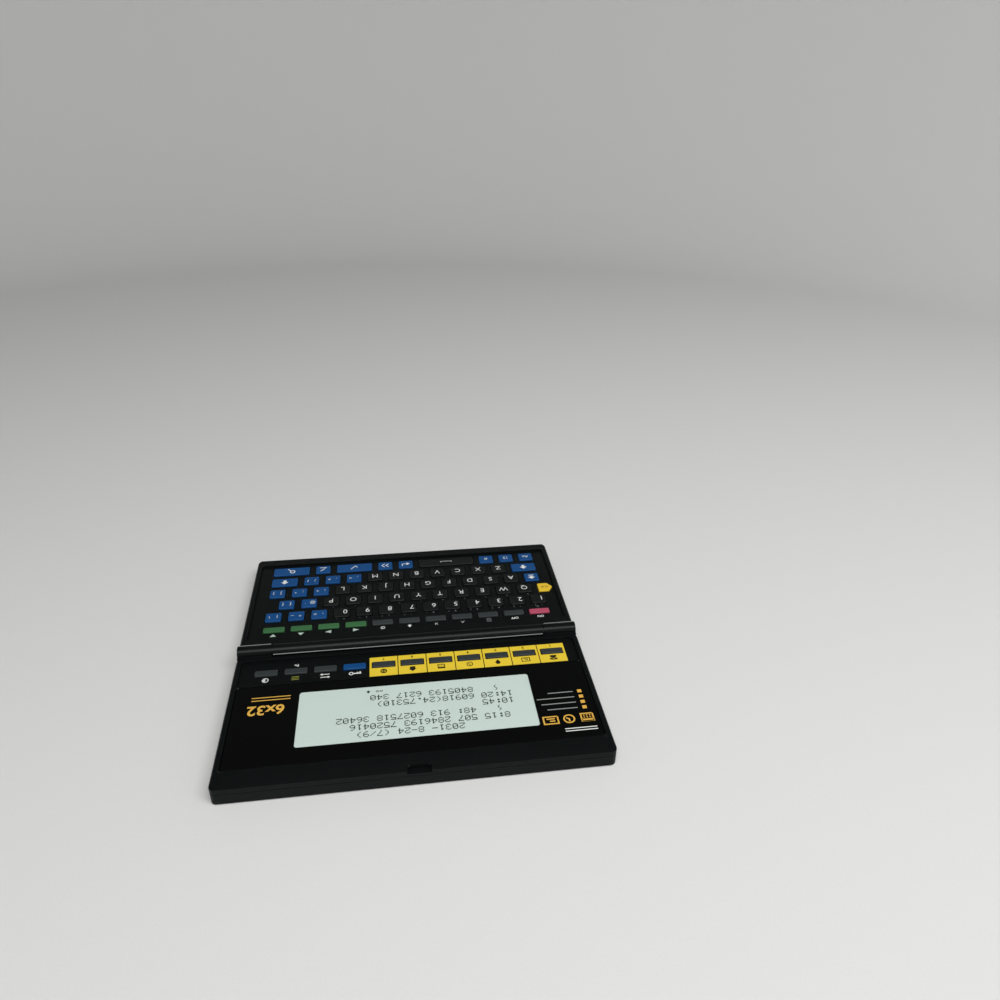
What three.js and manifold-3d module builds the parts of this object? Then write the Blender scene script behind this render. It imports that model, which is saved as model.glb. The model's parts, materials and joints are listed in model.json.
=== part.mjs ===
// A pocket electronic organizer, opened flat on its hinge.
// Millimetres, +Z up. The origin is on the table, under the middle of the hinge axis, which lies along X.
// The keyboard half (the base) lies towards -Y, and the display half (the lid) towards +Y.
import * as THREE from "three";
import { mergeVertices } from "three/addons/utils/BufferGeometryUtils.js";
import Module from "manifold-3d";

const wasm = await Module();
wasm.setup();

// Both halves of the case
const caseWidth = 163;
const halfDepth = 81;
const halfHeight = 9.4;
const closingGap = 0.3;
const cornerRadius = 2.4;
const rimChamfer = 0.7;
const floorWall = 1.2;
const sideWall = 1.6;
const upperCaseHeight = 3.8;
const seamGap = 0.2;
const lapWidth = 0.7;
const lapHeight = 0.6;
const seatGap = 0.2;
const cutOverrun = 1;
const joinDepth = 0.4;
const weldDistance = 0.0005;
const cornerSteps = 5;

// Hinge: a long barrel on the base between two ears on the lid
const barrelRadius = 3.2;
const barrelClearance = 0.3;
const earLength = 16.4;
const earGap = 0.3;
const earInset = 0.2;
const barrelArcSteps = 20;
const barrelArcEnd = 1.58 * Math.PI;
const pinRadius = 1;
const pinLength = 18;
const pinRunningGap = 0.08;
const pinPressGap = 0.04;
const tubeRadius = 1.8;
const tubeBoreRadius = 1.25;
const tubeLength = 9.6;
const roundSteps = 16;
const bossSteps = 10;

// Ribbon cable through the hinge
const ribbonWidth = 8;
const ribbonThickness = 0.3;
const ribbonRollRadius = 0.9;
const ribbonSlotClearance = 0.35;
const ribbonLanding = 4;
const ribbonRise = 1.7;
const ribbonTipGap = 0.3;

// Key bed: the sunk panel that the keys stand in
const bedDepth = 1.1;
const bedWall = 1.2;
const bedSideRim = 2.8;
const bedFrontRim = 6;
const bedRearRim = 6.3;
const bedCornerRadius = 1.5;

// Keys
const rowSideMargin = 6.7;
const topRowMargin = 7.6;
const bottomRowMargin = 6.1;
const keyRows = 6;
const keyColumns = 13;
const keyWidthShare = 0.687;
const keyDepthShare = 0.68;
const thinKeys = 11;
const thinKeyWidthShare = 0.78;
const thinKeyDepth = 3.7;
const arrowTipShare = 0.31;
const keyRise = 0.6;
const keyTravel = 0.5;
const keyChamfer = 0.35;
const keyCornerRadius = 0.7;
const keyClearance = 0.3;
const flangeReach = 0.8;
const flangeThickness = 0.6;
const flangeGap = 0.3;
const linkWidth = 1.4;

// Rubber mats and circuit boards
const domeClearance = 0.1;
const domeHeight = 0.7;
const domeRadius = 2;
const domeTopRadius = 1.5;
const domeSides = 4;
const matThickness = 0.5;
const matMargin = 1;
const boardThickness = 1;
const boardMargin = 0.6;
const chipHeight = 1.2;
const processorWidth = 14;
const memoryWidth = 8;
const memoryDepth = 14;
const driverWidth = 16;
const driverDepth = 5;

// Underside of the base
const footHeight = 0.4;
const footWidth = 7;
const footDepth = 3;
const footInset = 4;
const bossRadius = 2.6;
const screwHeadRadius = 1.9;
const screwHeadDepth = 1.5;
const bossInset = 7;
const bossSetback = 13;
const soundHoleRadius = 0.6;
const soundHoleRing = 3;
const soundHoles = 5;
const soundHoleSides = 6;

// Cells, battery cover, buzzer and data jack
const cellRadius = 10;
const cellThickness = 1.6;
const cellStep = 0.3;
const cellSpacing = 23;
const cellClearance = 0.5;
const backupCellRadius = 8;
const backupCellThickness = 1.2;
const backupCellShare = 0.640625;
const coverWidth = 46;
const coverDepth = 28;
const coverInset = 14.5;
const coverClearance = 0.25;
const coverLipThickness = 0.55;
const coverTongue = 1.2;
const coverUpstand = 0.8;
const coverFrontWall = 1.2;
const gripRibs = 5;
const gripWidth = 14;
const gripPitch = 1.8;
const gripDepth = 0.25;
const contactWidth = 8;
const contactThickness = 0.3;
const buzzerRadius = 9;
const buzzerThickness = 0.5;
const buzzerInset = 29.5;
const jackRadius = 2;
const jackBoreRadius = 1.25;
const jackLength = 10;
const jackBoreDepth = 8;
const jackHoleClearance = 0.15;

// Lid: key strip, window, display and front lip
const lidStripDepth = 17.4;
const lidStripSetback = 6.7;
const lidKeySetback = 14.85;
const stripWindowGap = 0.2;
const windowNorthRim = 8.5;
const windowThickness = 0.9;
const windowSink = 0.2;
const windowGap = 0.2;
const windowCornerRadius = 1.2;
const windowEdge = 0.2;
const displayWestMargin = 26.5;
const displayEastMargin = 28.3;
const displaySouthMargin = 6.1;
const displayNorthMargin = 9.1;
const glassBorder = 3;
const glassThickness = 2.2;
const glassGap = 0.4;
const carrierWall = 1.2;
const carrierShelf = 4;
const lipWidth = 5.5;
const lipDrop = 1.2;
const notchWidth = 9.8;
const notchDepth = 3;
const notchDrop = 2.6;

// Heights of the layers above the table, the same in both halves
const hingeHeight = halfHeight + closingGap / 2;
const hingeEdge = barrelRadius + barrelClearance;
const bedTop = halfHeight - bedDepth;
const bedUnderside = bedTop - bedWall;
const flangeTop = bedUnderside - flangeGap;
const flangeUnderside = flangeTop - flangeThickness;
const domeTop = flangeUnderside - keyTravel - domeClearance;
const matTop = domeTop - domeHeight;
const matUnderside = matTop - matThickness;
const boardTop = matUnderside - seatGap;
const boardUnderside = boardTop - boardThickness;
const postTop = boardUnderside - seatGap;
const baseFloorTop = footHeight + floorWall;
const seamHeight = halfHeight - upperCaseHeight;
const lowerSeam = seamHeight - seamGap / 2;
const upperSeam = seamHeight + seamGap / 2;
const lapTop = upperSeam + lapHeight;
const windowTop = halfHeight - windowSink;
const windowUnderside = windowTop - windowThickness;
const windowLedge = windowUnderside - seatGap;
const glassTop = windowUnderside - seatGap;
const glassUnderside = glassTop - glassThickness;
const carrierFloor = glassUnderside - seatGap;
const carrierTop = bedUnderside - seatGap;
const barrelHalfLength = caseWidth / 2 - earLength;
const barrelEarSeam = barrelHalfLength + earGap;
const earEnd = caseWidth / 2 - earInset;
const keyTop = bedTop + keyRise;

// Plan boxes: west and east along X, south and north along Y
const box = (west, east, south, north) => ({ west, east, south, north });
const inset = (plan, distance) =>
  box(plan.west + distance, plan.east - distance, plan.south + distance, plan.north - distance);
const centred = (x, y, width, depth) => box(x - width / 2, x + width / 2, y - depth / 2, y + depth / 2);

const basePlan = box(-caseWidth / 2, caseWidth / 2, -halfDepth, -hingeEdge);
const lidPlan = box(-caseWidth / 2, caseWidth / 2, hingeEdge, halfDepth);
const baseHollow = inset(basePlan, sideWall);
const lidHollow = inset(lidPlan, sideWall);
const bedPlan = box(
  basePlan.west + bedSideRim,
  basePlan.east - bedSideRim,
  basePlan.south + bedFrontRim,
  basePlan.north - bedRearRim,
);
const stripPlan = box(bedPlan.west, bedPlan.east, lidStripSetback, lidStripSetback + lidStripDepth);
const windowPocket = box(
  bedPlan.west,
  bedPlan.east,
  stripPlan.north + stripWindowGap,
  lidPlan.north - windowNorthRim,
);
const displayPlan = box(
  windowPocket.west + displayWestMargin,
  windowPocket.east - displayEastMargin,
  windowPocket.south + displaySouthMargin,
  windowPocket.north - displayNorthMargin,
);
const glassPlan = inset(displayPlan, -glassBorder);
const baseBoardPlan = inset(baseHollow, boardMargin);
const lidBoardPlan = inset(lidHollow, boardMargin);

// Outlines, as lists of points that run anticlockwise

function roundedOutline(plan, radius, steps) {
  const corners = [
    [plan.east - radius, plan.north - radius],
    [plan.west + radius, plan.north - radius],
    [plan.west + radius, plan.south + radius],
    [plan.east - radius, plan.south + radius],
  ];
  return corners.flatMap(([x, y], quarter) =>
    Array.from({ length: steps + 1 }, (_, step) => {
      const angle = ((quarter + step / steps) * Math.PI) / 2;
      return new THREE.Vector2(x + radius * Math.cos(angle), y + radius * Math.sin(angle));
    }),
  );
}

function boxOutline(plan) {
  return [
    new THREE.Vector2(plan.west, plan.south),
    new THREE.Vector2(plan.east, plan.south),
    new THREE.Vector2(plan.east, plan.north),
    new THREE.Vector2(plan.west, plan.north),
  ];
}

function circleOutline(x, y, radius, steps) {
  return Array.from({ length: steps }, (_, step) => {
    const angle = (2 * Math.PI * step) / steps;
    return new THREE.Vector2(x + radius * Math.cos(angle), y + radius * Math.sin(angle));
  });
}

// A key cap like an arrow that points west
function arrowOutline(plan, tip) {
  const middle = (plan.south + plan.north) / 2;
  return [
    new THREE.Vector2(plan.west, middle),
    new THREE.Vector2(plan.west + tip, plan.south),
    new THREE.Vector2(plan.east, plan.south),
    new THREE.Vector2(plan.east, plan.north),
    new THREE.Vector2(plan.west + tip, plan.north),
  ];
}

// A strip of even thickness along a path of points
function stripOutline(path, thickness) {
  const sides = path.map((point, i) => {
    const before = path[Math.max(i - 1, 0)];
    const after = path[Math.min(i + 1, path.length - 1)];
    const along = after.clone().sub(before).normalize();
    const across = new THREE.Vector2(-along.y, along.x).multiplyScalar(thickness / 2);
    return [point.clone().sub(across), point.clone().add(across)];
  });
  return [...sides.map(([right]) => right), ...sides.map(([, left]) => left).reverse()];
}

// Closed solids, for joining and cutting

function solidOf(geometry) {
  const bare = geometry.clone();
  bare.deleteAttribute("normal");
  bare.deleteAttribute("uv");
  const merged = mergeVertices(bare, weldDistance);
  const mesh = new wasm.Mesh({
    numProp: 3,
    vertProperties: merged.attributes.position.array,
    triVerts: new Uint32Array(merged.index.array),
  });
  return new wasm.Manifold(mesh);
}

function geometryOf(solid) {
  const mesh = solid.getMesh();
  const geometry = new THREE.BufferGeometry();
  geometry.setAttribute("position", new THREE.BufferAttribute(mesh.vertProperties, 3));
  geometry.setIndex(new THREE.BufferAttribute(mesh.triVerts, 1));
  geometry.computeVertexNormals();
  return geometry;
}

const joined = (solids) => solids.reduce((whole, piece) => whole.add(piece));

// Straight walls over one or more outlines, from one height to another
function prism(outlines, low, high) {
  const shapes = outlines.map((outline) => new THREE.Shape(outline));
  const geometry = new THREE.ExtrudeGeometry(shapes, { depth: high - low, bevelEnabled: false });
  return solidOf(geometry.translate(0, 0, low));
}

const block = (plan, low, high) => prism([boxOutline(plan)], low, high);
const plate = (plan, radius, low, high) => prism([roundedOutline(plan, radius, cornerSteps)], low, high);

// An outline in the YZ plane drawn out along X
function alongX(outline, west, east) {
  const geometry = new THREE.ExtrudeGeometry(new THREE.Shape(outline), {
    depth: east - west,
    bevelEnabled: false,
  });
  const axes = new THREE.Matrix4().makeBasis(
    new THREE.Vector3(0, 1, 0),
    new THREE.Vector3(0, 0, 1),
    new THREE.Vector3(1, 0, 0),
  );
  return solidOf(geometry.applyMatrix4(axes).translate(west, 0, 0));
}

const rod = (y, z, radius, west, east) => alongX(circleOutline(y, z, radius, roundSteps), west, east);

// A skin over outlines of one point count, laid one above another, with flat ends
function lofted(layers) {
  const count = layers[0].outline.length;
  const points = layers.flatMap(({ outline, height }) => outline.flatMap((p) => [p.x, p.y, height]));
  const faces = [];
  for (let layer = 0; layer + 1 < layers.length; layer++) {
    for (let i = 0; i < count; i++) {
      const a = layer * count + i;
      const b = layer * count + ((i + 1) % count);
      faces.push(a, b, b + count, a, b + count, a + count);
    }
  }
  const top = (layers.length - 1) * count;
  for (const [a, b, c] of THREE.ShapeUtils.triangulateShape(layers[0].outline, [])) faces.push(c, b, a);
  for (const [a, b, c] of THREE.ShapeUtils.triangulateShape(layers[layers.length - 1].outline, [])) {
    faces.push(top + a, top + b, top + c);
  }
  const geometry = new THREE.BufferGeometry();
  geometry.setAttribute("position", new THREE.Float32BufferAttribute(points, 3));
  geometry.setIndex(faces);
  geometry.computeVertexNormals();
  return geometry;
}

// Finishes
const finish = (color, roughness, metalness = 0) =>
  new THREE.MeshStandardMaterial({ color, roughness, metalness });
const finishes = {
  case: finish(0x1b1f21, 0.55),
  bed: finish(0x171b1d, 0.7),
  gloss: finish(0x0a0b0d, 0.12),
  greyKey: finish(0x55575b, 0.5),
  blackKey: finish(0x16181a, 0.5),
  blueKey: finish(0x1d5896, 0.45),
  greenKey: finish(0x4a8a45, 0.45),
  redKey: finish(0xc8405f, 0.45),
  yellowKey: finish(0xe9c93a, 0.45),
  rubber: finish(0x4b4d50, 0.9),
  board: finish(0x1f5b3a, 0.5),
  steel: finish(0xb9bbbd, 0.3, 1),
  display: finish(0xc9d2cf, 0.2),
  ribbon: finish(0xb5702c, 0.5),
  brass: finish(0xb99a4b, 0.35, 1),
};

// The scene: one group for each half, and the keys beside the half that guides them
const organizer = new THREE.Group();
const base = new THREE.Group();
const lid = new THREE.Group();
organizer.add(base, lid);

function place(group, name, geometry, material, x = 0, y = 0, z = 0) {
  const mesh = new THREE.Mesh(geometry, material);
  mesh.name = name;
  mesh.position.set(x, y, z);
  group.add(mesh);
}

// Key rows: each row is packed from its key widths and centred, with one owner's name to each key.
// Key tops of one row and colour are one moulding, as the maker's tool leaves them: under the bed a thin
// strip links their flanges.
const repeat = (count, value) => Array(count).fill(value);
const rowWidth = bedPlan.east - bedPlan.west - 2 * rowSideMargin;
const rowPitch = (bedPlan.north - bedPlan.south - topRowMargin - bottomRowMargin) / (keyRows - 1);
const rowY = (row) => bedPlan.north - topRowMargin - row * rowPitch;
const keyPitch = rowWidth / (keyColumns - 1 + keyWidthShare);
const keyWidth = keyPitch * keyWidthShare;
const keyGap = keyPitch - keyWidth;
const keyDepth = rowPitch * keyDepthShare;
const shiftKeyWidth = (rowWidth - 10 * keyWidth - 11 * keyGap) / 2;
const wideKeyWidth = keyPitch + keyWidth;
const spaceKeyWidth = rowWidth - 6 * keyWidth - 2 * wideKeyWidth - 8 * keyGap;
const thinKeyPitch = rowWidth / (thinKeys - 1 + thinKeyWidthShare);
const thinKeyWidth = thinKeyPitch * thinKeyWidthShare;
const thinKeyGap = thinKeyPitch - thinKeyWidth;

function packRow({ y, widths, depth, gap, shift = 0, owners, arrow }) {
  const total = widths.reduce((sum, width) => sum + width + gap, -gap);
  let west = shift - total / 2;
  return widths.map((width, i) => {
    const key = { x: west + width / 2, y, width, depth, owner: owners[i], arrow: owners[i] === arrow };
    west += width + gap;
    return key;
  });
}

const thinRow = { widths: repeat(thinKeys, thinKeyWidth), depth: thinKeyDepth, gap: thinKeyGap };
const fullRow = { widths: repeat(keyColumns, keyWidth), depth: keyDepth, gap: keyGap };
const baseKeys = [
  packRow({
    ...thinRow,
    y: rowY(0),
    owners: [
      "power_on_key", "power_off_key", "calculator_key", "insert_key", "delete_key", "alarm_key",
      "clock_key", "cursor_left_key", "cursor_right_key", "cursor_up_key", "cursor_down_key",
    ],
  }),
  packRow({ ...fullRow, y: rowY(1), owners: [...repeat(10, "digit_keys"), ...repeat(3, "symbol_keys")] }),
  packRow({
    ...fullRow,
    y: rowY(2),
    shift: -keyPitch / 2,
    owners: ["page_back_key", ...repeat(10, "upper_letter_keys"), ...repeat(2, "symbol_keys")],
    arrow: "page_back_key",
  }),
  packRow({
    ...fullRow,
    y: rowY(3),
    owners: ["caps_key", ...repeat(9, "middle_letter_keys"), ...repeat(3, "symbol_keys")],
  }),
  packRow({
    ...fullRow,
    y: rowY(4),
    widths: [shiftKeyWidth, ...repeat(10, keyWidth), shiftKeyWidth],
    owners: [
      "left_shift_key", ...repeat(7, "lower_letter_keys"), ...repeat(3, "symbol_keys"),
      "right_shift_key",
    ],
  }),
  packRow({
    ...fullRow,
    y: rowY(5),
    widths: [
      ...repeat(3, keyWidth), spaceKeyWidth, keyWidth, keyWidth, wideKeyWidth, keyWidth, wideKeyWidth,
    ],
    owners: [
      ...repeat(3, "mode_keys"), "space_key", "enter_key", "next_key", "set_key", "edit_key",
      "search_key",
    ],
  }),
].flat();
const lidKeys = packRow({
  ...thinRow,
  y: lidKeySetback,
  owners: [
    "telephone_key", "card_file_key", "memo_key", "schedule_key", "calendar_key", "home_time_key",
    "world_time_key", "secret_key", "data_key", "display_key", "function_key",
  ],
});

// A key's plan on the bed, let out or drawn in evenly, and the outline of its cap there
const keyPlan = (key, growth) => centred(key.x, key.y, key.width + 2 * growth, key.depth + 2 * growth);

function capOutline(key, growth) {
  const plan = keyPlan(key, growth);
  if (key.arrow) return arrowOutline(plan, keyWidth * arrowTipShare);
  return roundedOutline(plan, keyCornerRadius + growth, 1);
}

// One key: a flange that the bed holds down, a straight cap and a chamfered top
function keySolid(key) {
  const cap = lofted([
    { outline: capOutline(key, 0), height: flangeTop - flangeThickness / 2 },
    { outline: capOutline(key, 0), height: keyTop - keyChamfer },
    { outline: capOutline(key, -keyChamfer), height: keyTop },
  ]);
  return block(keyPlan(key, flangeReach), flangeUnderside, flangeTop).add(solidOf(cap));
}

// The strip between two neighbours of one moulding, side by side or row to row
function linkSolid(a, b) {
  const from = keyPlan(a, flangeReach);
  const to = keyPlan(b, flangeReach);
  const plan =
    a.y === b.y
      ? box(from.east - joinDepth, to.west + joinDepth, a.y - linkWidth / 2, a.y + linkWidth / 2)
      : centred(
          (Math.max(from.west, to.west) + Math.min(from.east, to.east)) / 2,
          (from.south + to.north) / 2,
          linkWidth,
          from.south - to.north + 2 * joinDepth,
        );
  return block(plan, flangeUnderside, flangeTop);
}

function keyMoulding(keys) {
  const rows = [...new Set(keys.map((key) => key.y))].map((y) => keys.filter((key) => key.y === y));
  const links = rows.flatMap((row) => row.slice(1).map((key, i) => linkSolid(row[i], key)));
  for (let i = 1; i < rows.length; i++) {
    const pairs = rows[i - 1].flatMap((a) => rows[i].map((b) => [a, b]));
    const nearest = pairs.sort(([a, b], [c, d]) => Math.abs(a.x - b.x) - Math.abs(c.x - d.x))[0];
    links.push(linkSolid(...nearest));
  }
  return joined([...keys.map(keySolid), ...links]);
}

const keyFinishes = {
  power_on_key: finishes.redKey,
  cursor_left_key: finishes.greenKey,
  cursor_right_key: finishes.greenKey,
  cursor_up_key: finishes.greenKey,
  cursor_down_key: finishes.greenKey,
  digit_keys: finishes.blackKey,
  upper_letter_keys: finishes.blackKey,
  middle_letter_keys: finishes.blackKey,
  lower_letter_keys: finishes.blackKey,
  space_key: finishes.blackKey,
  page_back_key: finishes.yellowKey,
};
const blueOwners = [
  "symbol_keys", "caps_key", "left_shift_key", "right_shift_key", "mode_keys", "enter_key", "next_key",
  "set_key", "edit_key", "search_key", "secret_key",
];
for (const owner of blueOwners) keyFinishes[owner] = finishes.blueKey;

function placeKeys(group, keys) {
  for (const owner of new Set(keys.map((key) => key.owner))) {
    const own = keys.filter((key) => key.owner === owner);
    const [first] = own;
    const local = own.map((key) => ({ ...key, x: key.x - first.x, y: key.y - first.y }));
    const keyFinish = keyFinishes[owner] ?? finishes.greyKey;
    place(group, owner, geometryOf(keyMoulding(local)), keyFinish, first.x, first.y);
  }
}
placeKeys(base, baseKeys);
placeKeys(lid, lidKeys);

const keyHoles = (keys) =>
  prism(
    keys.map((key) => (key.arrow ? capOutline(key, keyClearance) : boxOutline(keyPlan(key, keyClearance)))),
    bedUnderside - cutOverrun,
    bedTop + cutOverrun,
  );

// Rubber mat: a sheet on the board with one dome under each key
function keyMat(plan, keys) {
  const domes = keys.map((key) =>
    solidOf(
      lofted([
        { outline: circleOutline(key.x, key.y, domeRadius, domeSides), height: matTop - joinDepth },
        { outline: circleOutline(key.x, key.y, domeRadius, domeSides), height: matTop },
        { outline: circleOutline(key.x, key.y, domeTopRadius, domeSides), height: domeTop },
      ]),
    ),
  );
  return joined([block(plan, matUnderside, matTop), ...domes]);
}

// Hinge: the barrel or an ear in the YZ plane, drawn from the axis towards its own half
function hingeOutline(side) {
  const sink = closingGap / 2;
  const start = -Math.asin(sink / barrelRadius);
  const arc = Array.from({ length: barrelArcSteps + 1 }, (_, step) => {
    const angle = start + ((barrelArcEnd - start) * step) / barrelArcSteps;
    return [barrelRadius * Math.cos(angle), hingeHeight + barrelRadius * Math.sin(angle)];
  });
  const root = hingeEdge + sideWall / 2;
  return [...arc, [hingeEdge, upperSeam], [root, upperSeam], [root, halfHeight]].map(
    ([out, up]) => new THREE.Vector2(side * out, up),
  );
}

// The ribbon's way from its landing on a board, over the case wall, to the hinge axis
function ribbonPath(side) {
  const boardEdge = hingeEdge + sideWall + boardMargin;
  const flat = boardTop + seatGap + ribbonThickness / 2;
  return [
    [boardEdge + ribbonLanding, flat],
    [boardEdge, flat],
    [boardEdge, flat + ribbonRise],
    [barrelRadius / 2, hingeHeight - barrelRadius / 2],
    [0, hingeHeight],
  ].map(([out, up]) => new THREE.Vector2(side * out, up));
}

const tubeStart = barrelEarSeam - earGap / 2 - tubeLength / 2;
const tubeEnd = tubeStart + tubeLength;
const baseRibbonWest = tubeStart - seatGap - ribbonWidth;
const lidRibbonWest = tubeEnd + seatGap;
const ribbonSlotThickness = ribbonThickness + 2 * ribbonSlotClearance;
const tubeBoreFit = tubeRadius + pinRunningGap;

// The hollow that the ribbon needs in the barrel, and its twin in the east ear
function ribbonSlot(side, west) {
  const slot = stripOutline(ribbonPath(side).slice(2), ribbonSlotThickness);
  return alongX(slot, west - ribbonSlotClearance, west + ribbonWidth + ribbonSlotClearance);
}

const barrelPinBore = rod(
  0,
  hingeHeight,
  pinRadius + pinPressGap,
  -barrelHalfLength - cutOverrun,
  pinLength / 2 - barrelHalfLength,
);
const barrelTubeBore = rod(
  0,
  hingeHeight,
  tubeBoreFit,
  baseRibbonWest - ribbonSlotClearance,
  barrelHalfLength + cutOverrun,
);
const barrel = alongX(hingeOutline(-1), -barrelHalfLength, barrelHalfLength)
  .subtract(barrelPinBore)
  .subtract(barrelTubeBore);

const earPinBore = rod(
  0,
  hingeHeight,
  pinRadius + pinRunningGap,
  -barrelEarSeam - pinLength / 2,
  cutOverrun - barrelEarSeam,
);
const earTubeBore = rod(
  0,
  hingeHeight,
  tubeBoreFit,
  barrelEarSeam - cutOverrun,
  lidRibbonWest + ribbonWidth + ribbonSlotClearance,
);
const westEar = alongX(hingeOutline(1), -earEnd, -barrelEarSeam).subtract(earPinBore);
const eastEar = alongX(hingeOutline(1), barrelEarSeam, earEnd).subtract(earTubeBore);

const pinWest = -(barrelHalfLength + earGap / 2) - pinLength / 2 + seatGap;
const hingePin = rod(0, 0, pinRadius, 0, pinLength - 2 * seatGap);
place(base, "hinge_pin", geometryOf(hingePin), finishes.steel, pinWest, 0, hingeHeight);
const hingeTube = rod(0, 0, tubeRadius, 0, tubeLength).subtract(
  rod(0, 0, tubeBoreRadius, -cutOverrun, tubeLength + cutOverrun),
);
place(base, "hinge_tube", geometryOf(hingeTube), finishes.steel, tubeStart, 0, hingeHeight);

// Each half keeps its own stretch of the ribbon: a strip from the board, and a roll about the hinge axis
function ribbon(side, west, rollWest, rollEast) {
  const strip = alongX(stripOutline(ribbonPath(side), ribbonThickness), west, west + ribbonWidth);
  return strip.add(rod(0, hingeHeight, ribbonRollRadius, rollWest, rollEast));
}

const ribbonSeam = barrelHalfLength + earGap / 2;
const baseRibbon = ribbon(-1, baseRibbonWest, baseRibbonWest, ribbonSeam - ribbonTipGap / 2);
const lidRibbon = ribbon(1, lidRibbonWest, ribbonSeam + ribbonTipGap / 2, lidRibbonWest + ribbonWidth);
place(base, "base_ribbon", geometryOf(baseRibbon), finishes.ribbon);
place(lid, "lid_ribbon", geometryOf(lidRibbon), finishes.ribbon);

// The step inside an upper case's wall that takes the tray's lap
const lapRebate = (plan) =>
  plate(
    inset(plan, sideWall - lapWidth - seatGap),
    cornerRadius - sideWall,
    upperSeam - cutOverrun,
    lapTop + seatGap,
  );

// Screw bosses at the corners of a half, the same distance from its outer edges
function bossPlaces(plan) {
  const xs = [plan.west + bossInset, plan.east - bossInset];
  const ys = [plan.south + bossSetback, plan.north - bossSetback];
  return xs.flatMap((x) => ys.map((y) => [x, y]));
}

const bosses = (plan, floorTop) =>
  prism(
    bossPlaces(plan).map(([x, y]) => circleOutline(x, y, bossRadius, bossSteps)),
    floorTop - joinDepth,
    postTop,
  );
const screwWells = (plan, underside) =>
  prism(
    bossPlaces(plan).map(([x, y]) => circleOutline(x, y, screwHeadRadius, bossSteps)),
    underside - cutOverrun,
    underside + screwHeadDepth,
  );

// The outside of a half's lower shell: chamfered along its bottom edge
const trayBlank = (plan, underside) =>
  solidOf(
    lofted([
      {
        outline: roundedOutline(inset(plan, rimChamfer), cornerRadius - rimChamfer, cornerSteps),
        height: underside,
      },
      { outline: roundedOutline(plan, cornerRadius, cornerSteps), height: underside + rimChamfer },
      { outline: roundedOutline(plan, cornerRadius, cornerSteps), height: lowerSeam },
    ]),
  );

// An open tray: hollow above its floor, with a lap inside the seam
function tray(plan, hollow, underside) {
  const floorTop = underside + floorWall;
  const lap = inset(plan, sideWall - lapWidth);
  return trayBlank(plan, underside)
    .add(plate(lap, cornerRadius - sideWall, lowerSeam - joinDepth, lapTop))
    .subtract(plate(hollow, cornerRadius - sideWall, floorTop, lapTop + cutOverrun))
    .add(bosses(plan, floorTop))
    .subtract(screwWells(plan, underside));
}

// Battery cover: it slides out over the front edge, held by tongues behind the case's lips. Its front
// follows the case's chamfer and turns up to close the front wall.
const coverX = basePlan.west + coverInset + coverWidth / 2;
const coverPlan = box(
  coverX - coverWidth / 2,
  coverX + coverWidth / 2,
  basePlan.south + coverClearance,
  basePlan.south + coverDepth,
);
const coverTop = baseFloorTop - seatGap / 2;
const lipTop = footHeight + coverLipThickness;
const tonguePlan = box(
  coverPlan.west - coverTongue,
  coverPlan.east + coverTongue,
  coverPlan.south,
  coverPlan.north - coverClearance,
);
const coverSlotTop = baseFloorTop + coverUpstand;
const coverSlot = block(
  box(
    coverPlan.west - coverClearance,
    coverPlan.east + coverClearance,
    basePlan.south - cutOverrun,
    coverPlan.north + coverClearance,
  ),
  footHeight - cutOverrun,
  coverSlotTop,
).add(
  block(
    box(
      tonguePlan.west - coverClearance,
      tonguePlan.east + coverClearance,
      basePlan.south - cutOverrun,
      coverPlan.north + coverClearance,
    ),
    lipTop,
    baseFloorTop + seatGap,
  ),
);
const gripPlan = (i) =>
  centred(
    coverX,
    (coverPlan.south + coverPlan.north) / 2 + (i - (gripRibs - 1) / 2) * gripPitch,
    gripWidth,
    gripPitch / 2,
  );
const coverGrip = prism(
  Array.from({ length: gripRibs }, (_, i) => boxOutline(gripPlan(i))),
  footHeight - cutOverrun,
  footHeight + gripDepth,
);
const coverFront = box(
  coverPlan.west,
  coverPlan.east,
  coverPlan.south,
  coverPlan.south + coverFrontWall,
);
const batteryCover = block(coverPlan, footHeight, coverTop)
  .add(block(tonguePlan, lipTop + seatGap, coverTop))
  .add(block(coverFront, coverTop - joinDepth, coverSlotTop - seatGap))
  .intersect(trayBlank(inset(basePlan, coverClearance), footHeight))
  .subtract(coverGrip);
place(base, "battery_cover", geometryOf(batteryCover), finishes.case);

// Cells: two main cells on the cover, a backup cell on the floor between the cover and the buzzer, and the
// contact plate above the pair
const cellY = basePlan.south + sideWall + cellRadius + coverTongue + cellClearance;
const cellZ = coverTop + seatGap;

function cell(radius, thickness) {
  const profile = [
    new THREE.Vector2(0, 0),
    new THREE.Vector2(radius - cellStep, 0),
    new THREE.Vector2(radius, cellStep),
    new THREE.Vector2(radius, thickness),
    new THREE.Vector2(0, thickness),
  ];
  return new THREE.LatheGeometry(profile, roundSteps).rotateX(Math.PI / 2);
}

const mainCell = geometryOf(solidOf(cell(cellRadius, cellThickness)));
place(base, "left_main_cell", mainCell, finishes.steel, coverX - cellSpacing / 2, cellY, cellZ);
place(base, "right_main_cell", mainCell, finishes.steel, coverX + cellSpacing / 2, cellY, cellZ);
const buzzerX = basePlan.east - buzzerInset;
const backupCellRoom = buzzerX - buzzerRadius - coverPlan.east;
const backupCellX = coverPlan.east + backupCellShare * backupCellRoom;
const backupCell = geometryOf(solidOf(cell(backupCellRadius, backupCellThickness)));
place(base, "backup_cell", backupCell, finishes.steel, backupCellX, cellY, baseFloorTop + seatGap);

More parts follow.
